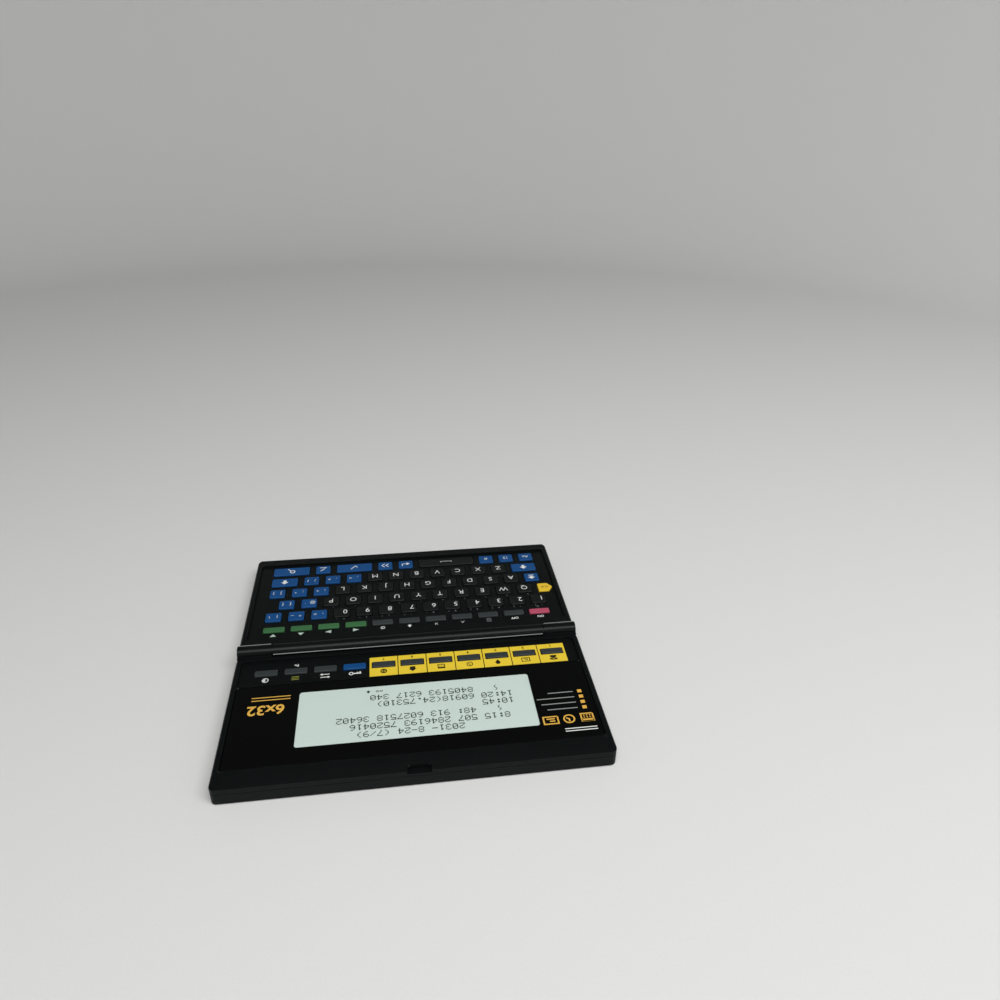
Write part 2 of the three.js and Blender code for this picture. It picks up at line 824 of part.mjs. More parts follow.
const cellWindow = centred(
  coverX,
  cellY,
  cellSpacing + 2 * (cellRadius + cellClearance),
  2 * (cellRadius + cellClearance),
);
const contactPlan = centred(coverX, cellY, cellWindow.east - cellWindow.west - 2 * seatGap, contactWidth);
const contactZ = cellZ + cellThickness + seatGap;
const contactPlate = block(contactPlan, contactZ, contactZ + contactThickness);
place(base, "cell_contact", geometryOf(contactPlate), finishes.brass);

// Buzzer: a thin disc on the floor over its sound holes
const buzzer = prism([circleOutline(0, 0, buzzerRadius, roundSteps)], 0, buzzerThickness);
place(base, "buzzer", geometryOf(buzzer), finishes.brass, buzzerX, cellY, baseFloorTop + seatGap);
const soundHoleCut = prism(
  Array.from({ length: soundHoles }, (_, i) => {
    const angle = (2 * Math.PI * i) / soundHoles;
    const x = buzzerX + soundHoleRing * Math.cos(angle);
    const y = cellY + soundHoleRing * Math.sin(angle);
    return circleOutline(x, y, soundHoleRadius, soundHoleSides);
  }),
  footHeight - cutOverrun,
  baseFloorTop + seatGap / 2,
);

// Data jack: a barrel inside the west wall, behind the key bed
const jackY = baseHollow.north - seatGap - jackRadius;
const jackZ = baseFloorTop + seatGap + jackRadius;
const jackWest = baseHollow.west + seatGap;
const jackBore = rod(0, 0, jackBoreRadius, -cutOverrun, jackBoreDepth);
const jack = rod(0, 0, jackRadius, 0, jackLength).subtract(jackBore);
place(base, "data_jack", geometryOf(jack), finishes.brass, jackWest, jackY, jackZ);
const jackHole = rod(
  jackY,
  jackZ,
  jackBoreRadius + jackHoleClearance,
  basePlan.west - cutOverrun,
  baseHollow.west + seatGap / 2,
);

// Main board: packages soldered underneath, a window for the cells and a corner cut away for the jack
const jackBay = box(
  basePlan.west,
  jackWest + jackLength + boardMargin,
  jackY - jackRadius - boardMargin,
  basePlan.north,
);
const processor = centred(0, rowY(2), processorWidth, processorWidth);
const memories = [-1, 1].map((side) =>
  centred(side * (processorWidth + memoryWidth), rowY(2), memoryWidth, memoryDepth),
);
const mainBoard = block(baseBoardPlan, boardUnderside, boardTop)
  .subtract(block(cellWindow, boardUnderside - cutOverrun, boardTop + cutOverrun))
  .subtract(block(jackBay, boardUnderside - cutOverrun, boardTop + cutOverrun))
  .add(
    prism([processor, ...memories].map(boxOutline), boardUnderside - chipHeight, boardUnderside + joinDepth),
  );
place(base, "main_board", geometryOf(mainBoard), finishes.board);

const baseMatPlan = inset(bedPlan, matMargin);
place(base, "base_key_mat", geometryOf(keyMat(baseMatPlan, baseKeys)), finishes.rubber);

// Base lower case: a tray with moulded feet, the cover's slot, the sound holes and the jack's hole
const footXs = [basePlan.west + footInset + footWidth / 2, basePlan.east - footInset - footWidth / 2];
const footYs = [basePlan.south + footInset, basePlan.north - footInset];
const feet = prism(
  footXs.flatMap((x) =>
    footYs.map((y) => roundedOutline(centred(x, y, footWidth, footDepth), footDepth / 2, 1)),
  ),
  0,
  footHeight + joinDepth,
);
const baseLowerCase = tray(basePlan, baseHollow, footHeight)
  .add(feet)
  .subtract(coverSlot)
  .subtract(soundHoleCut)
  .subtract(jackHole)
  .subtract(ribbonSlot(-1, baseRibbonWest));
place(base, "base_lower_case", geometryOf(baseLowerCase), finishes.case);

// Base upper case: rim, sunk key bed with its holes, and the hinge barrel in one moulding
const baseUpperCase = solidOf(
  lofted([
    { outline: roundedOutline(basePlan, cornerRadius, cornerSteps), height: upperSeam },
    { outline: roundedOutline(basePlan, cornerRadius, cornerSteps), height: halfHeight - rimChamfer },
    {
      outline: roundedOutline(inset(basePlan, rimChamfer), cornerRadius - rimChamfer, cornerSteps),
      height: halfHeight,
    },
  ]),
)
  .add(barrel)
  .subtract(plate(bedPlan, bedCornerRadius, bedTop, halfHeight + cutOverrun))
  .subtract(plate(baseHollow, cornerRadius - sideWall, upperSeam - cutOverrun, bedUnderside))
  .subtract(lapRebate(basePlan))
  .subtract(keyHoles(baseKeys))
  .subtract(ribbonSlot(-1, baseRibbonWest));
place(base, "base_upper_case", geometryOf(baseUpperCase), finishes.case);

// Lid outer case: the tray that covers the organizer when it is shut
const lidOuterCase = tray(lidPlan, lidHollow, 0).subtract(ribbonSlot(1, lidRibbonWest));
place(lid, "lid_outer_case", geometryOf(lidOuterCase), finishes.case);

// Lid inner case: key strip, window pocket, display aperture, sloped front lip, finger notch and ears
const lipPlan = box(
  lidPlan.west + rimChamfer,
  lidPlan.east - rimChamfer,
  lidPlan.south + rimChamfer,
  lidPlan.north - lipWidth,
);
const fingerNotch = plate(
  centred(0, lidPlan.north, notchWidth, 2 * notchDepth),
  cornerRadius / 2,
  halfHeight - notchDrop,
  halfHeight + cutOverrun,
);
const lidInnerCase = solidOf(
  lofted([
    { outline: roundedOutline(lidPlan, cornerRadius, cornerSteps), height: upperSeam },
    { outline: roundedOutline(lidPlan, cornerRadius, cornerSteps), height: halfHeight - lipDrop },
    { outline: roundedOutline(lipPlan, cornerRadius - rimChamfer, cornerSteps), height: halfHeight },
  ]),
)
  .add(westEar)
  .add(eastEar)
  .subtract(plate(stripPlan, bedCornerRadius, bedTop, halfHeight + cutOverrun))
  .subtract(plate(windowPocket, windowCornerRadius, windowLedge, halfHeight + cutOverrun))
  .subtract(plate(lidHollow, cornerRadius - sideWall, upperSeam - cutOverrun, bedUnderside))
  .subtract(lapRebate(lidPlan))
  .subtract(
    plate(inset(glassPlan, -glassGap), windowCornerRadius, bedUnderside - cutOverrun, windowTop),
  )
  .subtract(keyHoles(lidKeys))
  .subtract(ribbonSlot(1, lidRibbonWest))
  .subtract(fingerNotch);
place(lid, "lid_inner_case", geometryOf(lidInnerCase), finishes.case);

// Window, display glass and the frame that carries the glass above the lid's board
const windowPlan = inset(windowPocket, windowGap);
const windowPlate = solidOf(
  lofted([
    { outline: roundedOutline(windowPlan, windowCornerRadius, cornerSteps), height: windowUnderside },
    {
      outline: roundedOutline(windowPlan, windowCornerRadius, cornerSteps),
      height: windowTop - windowEdge,
    },
    {
      outline: roundedOutline(inset(windowPlan, windowEdge), windowCornerRadius - windowEdge, cornerSteps),
      height: windowTop,
    },
  ]),
);
place(lid, "display_window", geometryOf(windowPlate), finishes.gloss);
place(lid, "display_glass", geometryOf(block(glassPlan, glassUnderside, glassTop)), finishes.display);
const carrier = block(inset(glassPlan, -(glassGap + carrierWall)), boardTop + seatGap, carrierTop)
  .subtract(block(inset(glassPlan, -glassGap / 2), carrierFloor, carrierTop + cutOverrun))
  .subtract(block(inset(glassPlan, carrierShelf), boardTop, carrierTop + cutOverrun));
place(lid, "display_carrier", geometryOf(carrier), finishes.bed);

const driverXs = [displayPlan.west, (displayPlan.west + displayPlan.east) / 2, displayPlan.east];
const drivers = driverXs.map((x) => centred(x, displayPlan.north, driverWidth, driverDepth));
const lidBoard = block(lidBoardPlan, boardUnderside, boardTop).add(
  prism(drivers.map(boxOutline), boardUnderside - chipHeight, boardUnderside + joinDepth),
);
place(lid, "lid_board", geometryOf(lidBoard), finishes.board);
const lidMatPlan = box(
  baseMatPlan.west,
  baseMatPlan.east,
  lidBoardPlan.south + ribbonLanding + matMargin,
  stripPlan.north,
);
place(lid, "lid_key_mat", geometryOf(keyMat(lidMatPlan, lidKeys)), finishes.rubber);

export default organizer;
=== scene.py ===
# A pocket electronic organizer, opened flat. The camera and studio come first, and then the object: the case,
# the keys' caps, the small parts at the hinge and below, the print, the display, and what lies inside.
import json
import math

import bmesh
import bpy
from mathutils import Matrix, Vector

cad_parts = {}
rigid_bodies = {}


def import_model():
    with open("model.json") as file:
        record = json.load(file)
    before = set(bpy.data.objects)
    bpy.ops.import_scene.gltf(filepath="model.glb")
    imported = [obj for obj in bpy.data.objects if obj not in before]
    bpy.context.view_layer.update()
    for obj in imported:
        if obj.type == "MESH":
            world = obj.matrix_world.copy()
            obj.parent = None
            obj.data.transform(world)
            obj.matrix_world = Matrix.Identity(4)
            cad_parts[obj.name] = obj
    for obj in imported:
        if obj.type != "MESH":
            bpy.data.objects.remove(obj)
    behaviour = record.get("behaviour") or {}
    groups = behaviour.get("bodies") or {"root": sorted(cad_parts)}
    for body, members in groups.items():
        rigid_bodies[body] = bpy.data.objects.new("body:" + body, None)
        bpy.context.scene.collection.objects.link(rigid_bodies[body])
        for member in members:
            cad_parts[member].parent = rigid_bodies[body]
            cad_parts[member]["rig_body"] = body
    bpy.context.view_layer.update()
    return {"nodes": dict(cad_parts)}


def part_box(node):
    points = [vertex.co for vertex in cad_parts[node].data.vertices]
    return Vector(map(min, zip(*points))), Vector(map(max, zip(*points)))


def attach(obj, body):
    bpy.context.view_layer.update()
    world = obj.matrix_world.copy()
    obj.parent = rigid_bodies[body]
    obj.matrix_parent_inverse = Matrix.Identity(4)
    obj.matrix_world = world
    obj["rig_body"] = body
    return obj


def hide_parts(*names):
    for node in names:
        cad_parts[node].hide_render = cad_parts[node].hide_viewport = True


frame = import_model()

nodes = frame["nodes"]
MM = 0.001

# Camera: stands over the display half and looks down past it at the keyboard, as the photograph does. The
# place and the aim come from matching the case's corners, and the lens from the photograph's own perspective.
camera_place = Vector((3.8, 308.3, 254)) * MM
camera_aim = Vector((-65.8, -153.9, 0)) * MM
camera_roll = math.radians(1.018)
camera_lens = 28.51

camera = bpy.data.objects.new("camera", bpy.data.cameras.new("camera"))
bpy.context.scene.collection.objects.link(camera)
camera.data.lens = camera_lens
camera.data.sensor_width = 36
camera.data.clip_start = 0.01
looking = (camera_aim - camera_place).to_track_quat("-Z", "Y").to_matrix().to_4x4()
camera.matrix_world = Matrix.Translation(camera_place) @ looking @ Matrix.Rotation(camera_roll, 4, "Z")
bpy.context.scene.camera = camera
bpy.context.scene.view_settings.view_transform = "Standard"

# Floor: a wide round bowl of pale grey card, which bends up into a low wall all round, so that every view has
# the same ground. It is matt with a very faint tooth, and takes a soft shadow.
card_colour = "#d6d6d4"
card_shade = "#d0d0cf"
card_reach = 900
card_lip = 5
card_bend = 350
card_bend_step = 6
card_top = 750
card_sides = 96
card_tooth = 0.9


def linear(colour):
    """An sRGB hex colour as the linear one that a socket holds."""
    channels = [int(colour[i : i + 2], 16) / 255 for i in (1, 3, 5)]
    return [c / 12.92 if c <= 0.04045 else ((c + 0.055) / 1.055) ** 2.4 for c in channels] + [1]


def scaled(colour, share):
    """A linear colour made darker or paler by a share."""
    return [channel * share for channel in colour[:3]] + [1]


def add_node(material, kind, sockets=(), links=(), **properties):
    """Adds a shader node with its properties, its sockets' values and the outputs linked to its sockets."""
    node = material.node_tree.nodes.new("ShaderNode" + kind)
    for name, value in properties.items():
        setattr(node, name, value)
    for name, value in dict(sockets).items():
        node.inputs[name].default_value = value
    for name, output in dict(links).items():
        material.node_tree.links.new(output, node.inputs[name])
    return node


def new_material(name, **sockets):
    """A material whose shader has these values set on its own sockets, and the place on the object."""
    material = bpy.data.materials.new(name)
    material.use_nodes = True
    shader = material.node_tree.nodes["Principled BSDF"]
    for socket, value in sockets.items():
        shader.inputs[socket.replace("_", " ")].default_value = value
    place = add_node(material, "TexCoord").outputs["Object"]
    return material, shader, place


def set_link(material, output, shader, socket):
    """Links an output to a socket of the shader."""
    material.node_tree.links.new(output, shader.inputs[socket])


def per_mm(size):
    """The texture scale that gives a pattern this size in millimetres."""
    return 1 / (size * MM)


def drift(material, shader, place, first, second, size, detail=3):
    """Lets the shade drift between two linear colours in patches of a size in millimetres."""
    noise = add_node(material, "TexNoise", {"Scale": per_mm(size), "Detail": detail}, {"Vector": place})
    share = noise.outputs["Fac"]
    shade = add_node(material, "Mix", {"A": first, "B": second}, {"Factor": share}, data_type="RGBA")
    set_link(material, shade.outputs["Result"], shader, "Base Color")
    return share


def new_object(name, mesh, material, smooth_angle):
    """An object of one material, smooth across its shallow edges."""
    mesh.shade_smooth()
    mesh.set_sharp_from_angle(angle=math.radians(smooth_angle))
    mesh.materials.append(material)
    obj = bpy.data.objects.new(name, mesh)
    bpy.context.scene.collection.objects.link(obj)
    return obj


def mesh_object(name, points, faces, material, smooth_angle):
    """An object from points in millimetres."""
    mesh = bpy.data.meshes.new(name)
    mesh.from_pydata([Vector(p) * MM for p in points], [], faces)
    mesh.validate()
    return new_object(name, mesh, material, smooth_angle)


def pale_card():
    """Card: matt paper pulp, whose tooth only shows as a faint mottle in the light."""
    material, shader, place = new_material("pale_card", Roughness=0.9, Specular_IOR_Level=0.2)
    tooth = drift(material, shader, place, linear(card_colour), linear(card_shade), size=card_tooth)
    bump = add_node(material, "Bump", {"Strength": 0.15, "Distance": 0.1 * MM}, {"Height": tooth})
    set_link(material, bump.outputs["Normal"], shader, "Normal")
    return material


profile = [(card_reach - card_lip, 0)]
for step in range(0, 91, card_bend_step):
    turn = math.radians(step)
    profile.append((card_reach + card_bend * math.sin(turn), card_bend * (1 - math.cos(turn))))
profile.append((card_reach + card_bend, card_top))
turns = [2 * math.pi * i / card_sides for i in range(card_sides)]
bowl_points = [(r * math.cos(turn), r * math.sin(turn), z) for r, z in profile for turn in turns]
bowl_faces = [tuple(range(card_sides))]
for ring in range(len(profile) - 1):
    for i in range(card_sides):
        a = ring * card_sides + i
        b = ring * card_sides + (i + 1) % card_sides
        bowl_faces.append((a, a + card_sides, b + card_sides, b))
floor = mesh_object("floor", bowl_points, bowl_faces, pale_card(), smooth_angle=60)

# Light: one large softbox above the camera's right shoulder, which also draws the line along the hinge, and a
# dim even room, which keeps the black plastics black. The softbox itself is out of the camera's sight.
softbox_place = Vector((-300, 600, 1050)) * MM
softbox_aim = Vector((-300, 0, 0)) * MM
room_light = (0.11, 0.11, 0.113, 1)

softbox = bpy.data.objects.new("shoulder_softbox", bpy.data.lights.new("shoulder_softbox", "AREA"))
bpy.context.scene.collection.objects.link(softbox)
softbox.data.shape = "RECTANGLE"
softbox.data.size = 1.4
softbox.data.size_y = 0.7
softbox.data.energy = 18
softbox.location = softbox_place
softbox.rotation_euler = (softbox_aim - softbox_place).to_track_quat("-Z", "Y").to_euler()
softbox.visible_camera = False
world = bpy.data.worlds.new("studio")
bpy.context.scene.world = world
world.use_nodes = True
world.node_tree.nodes["Background"].inputs["Color"].default_value = room_light
world.node_tree.nodes["Background"].inputs["Strength"].default_value = 1

# Case: the four shells are injection moulded in black ABS. The mould is spark eroded, which leaves a fine
# even grain, and every outer edge has a small radius.
case_colour = "#060909"
shell_edge = 0.22
face_edge = 0.15
door_edge = 0.12
flow_share = 1.25
flow_lift = 0.001
crease = math.radians(25)
long_share = 3
flat = math.radians(1)
weld = 1e-6


def moulded_abs(name, colour, roughness=0.5, grain=0.35, grain_depth=0.012, shine=0.06, coat=0.14):
    """ABS from a spark-eroded mould: satin, with a fine grain that breaks up its highlights, a thin skin that
    draws a sharper line along its edges, and a very slight drift in shade from the flow of the melt."""
    material, shader, place = new_material(
        name,
        Roughness=roughness,
        IOR=1.52,
        Specular_IOR_Level=shine,
        Coat_Weight=coat,
        Coat_Roughness=0.16,
    )
    fine = add_node(
        material, "TexNoise", {"Scale": per_mm(grain), "Detail": 2, "Roughness": 0.6}, {"Vector": place}
    )
    bump = add_node(
        material, "Bump", {"Strength": 0.6, "Distance": grain_depth * MM}, {"Height": fine.outputs["Fac"]}
    )
    set_link(material, bump.outputs["Normal"], shader, "Normal")
    dark = linear(colour)
    pale = [min(1, channel * flow_share + flow_lift) for channel in dark[:3]] + [1]
    drift(material, shader, place, dark, pale, size=30, detail=1)
    return material


def welded(node):
    """A CAD node's form, copied with its points joined."""
    form = bmesh.new()
    form.from_mesh(nodes[node].data)
    bmesh.ops.remove_doubles(form, verts=form.verts, dist=weld)
    return form


def softened(name, node, edge, material):
    """A copy of a CAD node in the node's place, with each long crease rounded by edge millimetres."""
    form = welded(node)
    bmesh.ops.dissolve_limit(form, angle_limit=flat, verts=form.verts, edges=form.edges)
    shortest = long_share * edge * MM
    long = [e for e in form.edges if e.is_manifold and e.calc_length() > shortest]
    sharp = [e for e in long if e.calc_face_angle() > crease]
    bmesh.ops.bevel(
        form, geom=sharp, offset=edge * MM, segments=3, profile=0.5, affect="EDGES", clamp_overlap=True
    )
    bmesh.ops.triangulate(form, faces=[f for f in form.faces if len(f.verts) > 4])
    mesh = bpy.data.meshes.new(name)
    form.to_mesh(mesh)
    form.free()
    obj = new_object(name, mesh, material, smooth_angle=32)
    obj.modifiers.new("flat faces", "WEIGHTED_NORMAL").keep_sharp = True
    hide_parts(node)
    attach(obj, nodes[node]["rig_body"])
    return obj


black_abs = moulded_abs("black_abs", case_colour)
base_underside = softened("base_underside", "base_lower_case", shell_edge, black_abs)
softened("lid_back", "lid_outer_case", shell_edge, black_abs)
softened("battery_door", "battery_cover", door_edge, black_abs)
softened("base_face", "base_upper_case", face_edge, black_abs)
softened("lid_face", "lid_inner_case", face_edge, black_abs)

# Keys: a cap of coloured ABS stands in each hole of the bed. Below the bed it keeps the solid's flange and
# links, and above it the cap ends in a soft rounded shoulder round a flat satin top.
shoulder_width = 0.38
shoulder_drop = 0.35
shoulder_steps = 5
cap_corner = 0.7
tightest_corner = 0.32
flat_top = 0.01
cap_rise = 0.6
cap_chamfer = 0.35
flange_root = 6.5
flange_cut = 6.82
arrow_tip_share = 0.31
key_colours = {
    "black": "#080b0b",
    "grey": "#2c3132",
    "blue": "#083f72",
    "green": "#315d37",
    "red": "#a0445a",
    "yellow": "#d3b030",
}
green_keys = ["cursor_left_key", "cursor_right_key", "cursor_up_key", "cursor_down_key"]
black_keys = ["digit_keys", "upper_letter_keys", "middle_letter_keys", "lower_letter_keys", "space_key"]
grey_base_keys = [
    "power_off_key", "calculator_key", "insert_key", "delete_key", "alarm_key", "clock_key",
]
blue_keys = [
    "symbol_keys", "caps_key", "left_shift_key", "right_shift_key", "mode_keys", "enter_key", "next_key",
    "set_key", "edit_key", "search_key", "secret_key",
]
program_keys = [
    "telephone_key", "card_file_key", "memo_key", "schedule_key", "calendar_key", "home_time_key",
    "world_time_key",
]
grey_lid_keys = ["data_key", "display_key", "function_key"]


def cap_plans(node):
    """West, east, south and north in millimetres of each cap of a key node, row by row, from its tops."""
    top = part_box(node)[1].z
    form = welded(node)
    waiting = {v for v in form.verts if v.co.z > top - flat_top * MM}
    plans = []
    while waiting:
        island = [waiting.pop()]
        for v in island:
            near = {e.other_vert(v) for e in v.link_edges} & waiting
            waiting -= near
            island += near
        xs = [v.co.x / MM for v in island]
        ys = [v.co.y / MM for v in island]
        grow = cap_chamfer
        plans.append((min(xs) - grow, max(xs) + grow, min(ys) - grow, max(ys) + grow))
    form.free()
    return sorted(plans, key=lambda plan: (-round(plan[2], 1), plan[0]))


def rectangle(west, east, south, north):
    """The corners of a plan, anticlockwise."""
    return [(west, south), (east, south), (east, north), (west, north)]


def loop(west, east, south, north):
    """A rectangle as a path back to its start."""
    return rectangle(west, east, south, north) + [(west, south)]


def drawn_in(corners, distance):
    """A convex outline with each side moved in by a distance."""
    inner = []
    for before, corner, after in zip(corners[-1:] + corners[:-1], corners, corners[1:] + corners[:1]):
        a = (Vector(corner) - Vector(before)).normalized()
        b = (Vector(after) - Vector(corner)).normalized()
        out = Vector((a.y, -a.x)) + Vector((b.y, -b.x))
        inner.append(tuple(Vector(corner) - out * distance / (1 + a.dot(b))))
    return inner


def rounded(corners, radius, steps=5):
    """A convex outline with an arc at each corner."""
    outline = []
    for before, corner, after in zip(corners[-1:] + corners[:-1], corners, corners[1:] + corners[:1]):
        here = Vector(corner)
        back = (Vector(before) - here).normalized()
        on = (Vector(after) - here).normalized()
        half = back.angle(on) / 2
        centre = here + (back + on).normalized() * radius / math.sin(half)
        start = here + back * radius / math.tan(half) - centre
        sweep = math.pi - 2 * half
        for step in range(steps + 1):
            turn = Matrix.Rotation(sweep * step / steps, 2)
            outline.append(tuple(centre + turn @ start))
    return outline


def skin(rings, closed=False):
    """Points and faces of a skin over rings of one count: capped at both ends, or joined in a ring."""
    count = len(rings[0])
    points = [p for ring in rings for p in ring]
    faces = []
    for r in range(len(rings) - (0 if closed else 1)):
        for i in range(count):
            a = r * count + i
            b = r * count + (i + 1) % count
            up = ((r + 1) % len(rings) - r) * count
            faces.append((a, b, b + up, a + up))
    if not closed:
        faces.append(tuple(reversed(range(count))))
        faces.append(tuple(range(len(points) - count, len(points))))
    return points, faces


def at_height(outline, height):
    """A plan outline as a ring of points in space."""
    return [(x, y, height) for x, y in outline]


def arc_steps(width, drop, steps):
    """Inset and drop along a quarter ellipse that runs from an upright side to a flat top."""
    turns = [math.pi / 2 * step / steps for step in range(steps + 1)]
    return [(width * (1 - math.cos(turn)), drop * (1 - math.sin(turn))) for turn in turns]


def key_cap(corners, top):
    """Points and faces of one cap, from inside its flange to its top."""
    rings = [at_height(rounded(corners, cap_corner), flange_root)]
    for inset, drop in arc_steps(shoulder_width, shoulder_drop, shoulder_steps):
        ring = rounded(drawn_in(corners, inset), max(cap_corner - inset, tightest_corner))
        rings.append(at_height(ring, top - drop))
    return skin(rings)


def key_flanges(node):
    """Points and faces of a key node's flanges and links, cut from the solid just above them."""
    form = welded(node)
    cut = bmesh.ops.bisect_plane(
        form,
        geom=form.verts[:] + form.edges[:] + form.faces[:],
        plane_co=(0, 0, flange_cut * MM),
        plane_no=(0, 0, 1),
        clear_outer=True,
    )
    bmesh.ops.holes_fill(form, edges=[e for e in cut["geom_cut"] if isinstance(e, bmesh.types.BMEdge)])
    bmesh.ops.dissolve_limit(form, angle_limit=flat, verts=form.verts, edges=form.edges)
    form.verts.index_update()
    points = [tuple(v.co / MM) for v in form.verts]
    faces = [tuple(v.index for v in face.verts) for face in form.faces]
    form.free()
    return points, faces


def gathered(parts):
    """Several parts' points and faces as one."""
    points, faces = [], []
    for part_points, part_faces in parts:
        start = len(points)
        points += part_points
        faces += [tuple(start + i for i in face) for face in part_faces]
    return points, faces


def add_piece(name, parts, material, body, smooth_angle=35):
    """A piece of several parts, which rides on a body."""
    points, faces = gathered(parts)
    obj = mesh_object(name, points, faces, material, smooth_angle)
    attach(obj, body)
    return obj


def place_caps(node, material):
    """The caps of a key node, in the node's place and on its body."""
    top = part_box(node)[1].z / MM
    plans = cap_plans(node)
    corners = [rectangle(*plan) for plan in plans]
    if node == "page_back_key":
        west, east, south, north = plans[0]
        neck = west + (east - west) * arrow_tip_share
        corners = [[(west, (south + north) / 2), (neck, south), (east, south), (east, north), (neck, north)]]
    parts = [key_flanges(node)] + [key_cap(c, top) for c in corners]
    caps = add_piece(node.replace("_key", "_cap"), parts, material, nodes[node]["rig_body"])
    caps.modifiers.new("flat faces", "WEIGHTED_NORMAL").keep_sharp = True
    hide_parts(node)


# The caps' ABS is dyed through: satin, a little smoother than the case, with a grain that softens highlights.
for colour, owners in [
    ("black", black_keys),
    ("grey", grey_base_keys + program_keys + grey_lid_keys),
    ("blue", blue_keys),
    ("green", green_keys),
    ("red", ["power_on_key"]),
    ("yellow", ["page_back_key"]),
]:
    key_abs = moulded_abs(
        f"{colour}_key_abs", key_colours[colour], roughness=0.4, grain=0.25, grain_depth=0.004, shine=0.13
    )
    for owner in owners:
        place_caps(owner, key_abs)

# Hinge beads, feet, door mark and screws: slim polished beads at the barrel's foot and on the ears' far side,
# four soft pads under the keyboard half, a raised arrow behind the battery door's grip, and eight screws.
hinge_height = 9.55
barrel_bead = [(3, -0.15), (3.36, 0.05), (3.42, 0.33), (3.114, 0.587), (2.9, 0.5)]
barrel_bead_end = 64.7
ear_bead = [(-1.456, 2.786), (-1.694, 2.986), (-1.85, 2.56), (-1.7, 2.4)]
ear_bead_ends = [(-80.9, -65.9), (65.9, 80.9)]
foot_places = [(x, y) for x in (-74, 74) for y in (-77, -7.5)]
foot_half_length = 3.6
foot_half_width = 1.6
foot_rim = 0.2
foot_roundness = 0.999
foot_root = 0.44
solid_foot_top = 0.388
solid_foot_cut = 0.32
door_face = 0.4
door_relief = 0.2
door_root = 0.04
door_arrow = [(-46.8, -56.6), (-44, -61), (-41.2, -56.6)]
screw_radius = 1.55
screw_sides = 24
screw_sink = 0.5
screw_seat = 1.46
screw_dome = [(0.75, 0.03), (0.93, 0.16), (1, 0.4)]
recess_reach = 0.85
recess_half = 0.24
recess_depth = 0.6
recess_taper = 0.8
screw_places = [(x, y, 0.4) for x in (-74.5, 74.5) for y in (-68, -16.5)]
screw_places += [(x, y, 0) for x in (-74.5, 74.5) for y in (16.5, 68)]


def foot_rubber():
    """Soft black rubber: dead matt, with a dusty grey drift."""
    material, shader, place = new_material("foot_rubber", Roughness=0.85, Specular_IOR_Level=0.15)
    drift(material, shader, place, linear("#141515"), linear("#242525"), size=1.5)
    return material


def polished_abs():
    """The same black ABS where the mould is polished, as on the beads: smooth enough to mirror a lamp."""
    material, shader, place = new_material("polished_abs", IOR=1.52, Specular_IOR_Level=0.5)
    shader.inputs["Base Color"].default_value = linear(case_colour)
    rub = add_node(material, "TexNoise", {"Scale": per_mm(5), "Detail": 2}, {"Vector": place})
    rough = add_node(
        material, "MapRange", {"To Min": 0.09, "To Max": 0.14}, {"Value": rub.outputs["Fac"]}
    )
    set_link(material, rough.outputs["Result"], shader, "Roughness")
    return material


def mottled(name, dark, pale, size, roughness, **sockets):
    """A plain material whose shade and gloss drift between two values in patches of a size in millimetres."""
    material, shader, place = new_material(name, **sockets)
    share = drift(material, shader, place, linear(dark), linear(pale), size)
    low, high = roughness
    rough = add_node(material, "MapRange", {"To Min": low, "To Max": high}, {"Value": share})
    set_link(material, rough.outputs["Result"], shader, "Roughness")
    return material


def slab(outline, height, thickness):
    """A thin plate of any outline."""
    return skin([at_height(outline, height), at_height(outline, height + thickness)])


def circle(x, y, radius, count=28):
    """A circle as an outline."""
    turns = [2 * math.pi * i / count for i in range(count)]
    return [(x + radius * math.cos(turn), y + radius * math.sin(turn)) for turn in turns]


def cross_outline(x, y, reach, half):
    """A cross as 24 points, which start and turn as a circle's do."""
    quarter = [(reach, 0), (reach, half), ((reach + half) / 2, half), (half, half)]
    quarter += [(half, (reach + half) / 2), (half, reach)]
    outline = []
    for turn in range(4):
        c, w = [(1, 0), (0, 1), (-1, 0), (0, -1)][turn]
        outline += [(x + px * c - py * w, y + px * w + py * c) for px, py in quarter]
    return outline


def screw(x, y, underside):
    """A pan head with a cross recess, seen from below."""
    face = underside + screw_sink
    cross = cross_outline(x, y, recess_reach, recess_half)
    cross_floor = cross_outline(x, y, recess_reach * recess_taper, recess_half * recess_taper)
    rings = [at_height(cross_floor, face + recess_depth), at_height(cross, face)]
    for share, rise in screw_dome:
        rings.append(at_height(circle(x, y, screw_radius * share, screw_sides), face + rise))
    rings.append(at_height(circle(x, y, screw_radius, screw_sides), underside + screw_seat))
    return skin(rings)


def foot(x, y):
    """A round-ended pad with a soft rim, from the ground to just inside the case."""
    rings = []
    for inset, height in [*reversed(arc_steps(foot_rim, foot_rim, steps=4)), (0, foot_root)]:
        long, wide = foot_half_length - inset, foot_half_width - inset
        plan = rectangle(x - long, x + long, y - wide, y + wide)
        rings.append(at_height(rounded(plan, wide * foot_roundness, steps=8), height))
    return skin(rings)


def bead(section, west, east):
    """A bead along the hinge, with its section in millimetres from the hinge's axis."""
    return skin([[(x, y, z + hinge_height) for y, z in section] for x in (west, east)])


# The solid's own feet are cut short in the copy, because the rubber pads stand in their place.
for vertex in base_underside.data.vertices:
    if vertex.co.z < solid_foot_top * MM:
        vertex.co.z = solid_foot_cut * MM

polish = polished_abs()
for name, body, section, spans in [
    ("barrel_bead", "base", barrel_bead, [(-barrel_bead_end, barrel_bead_end)]),
    ("ear_beads", "lid", ear_bead, ear_bead_ends),
]:
    add_piece(name, [bead(section, *span) for span in spans], polish, body)

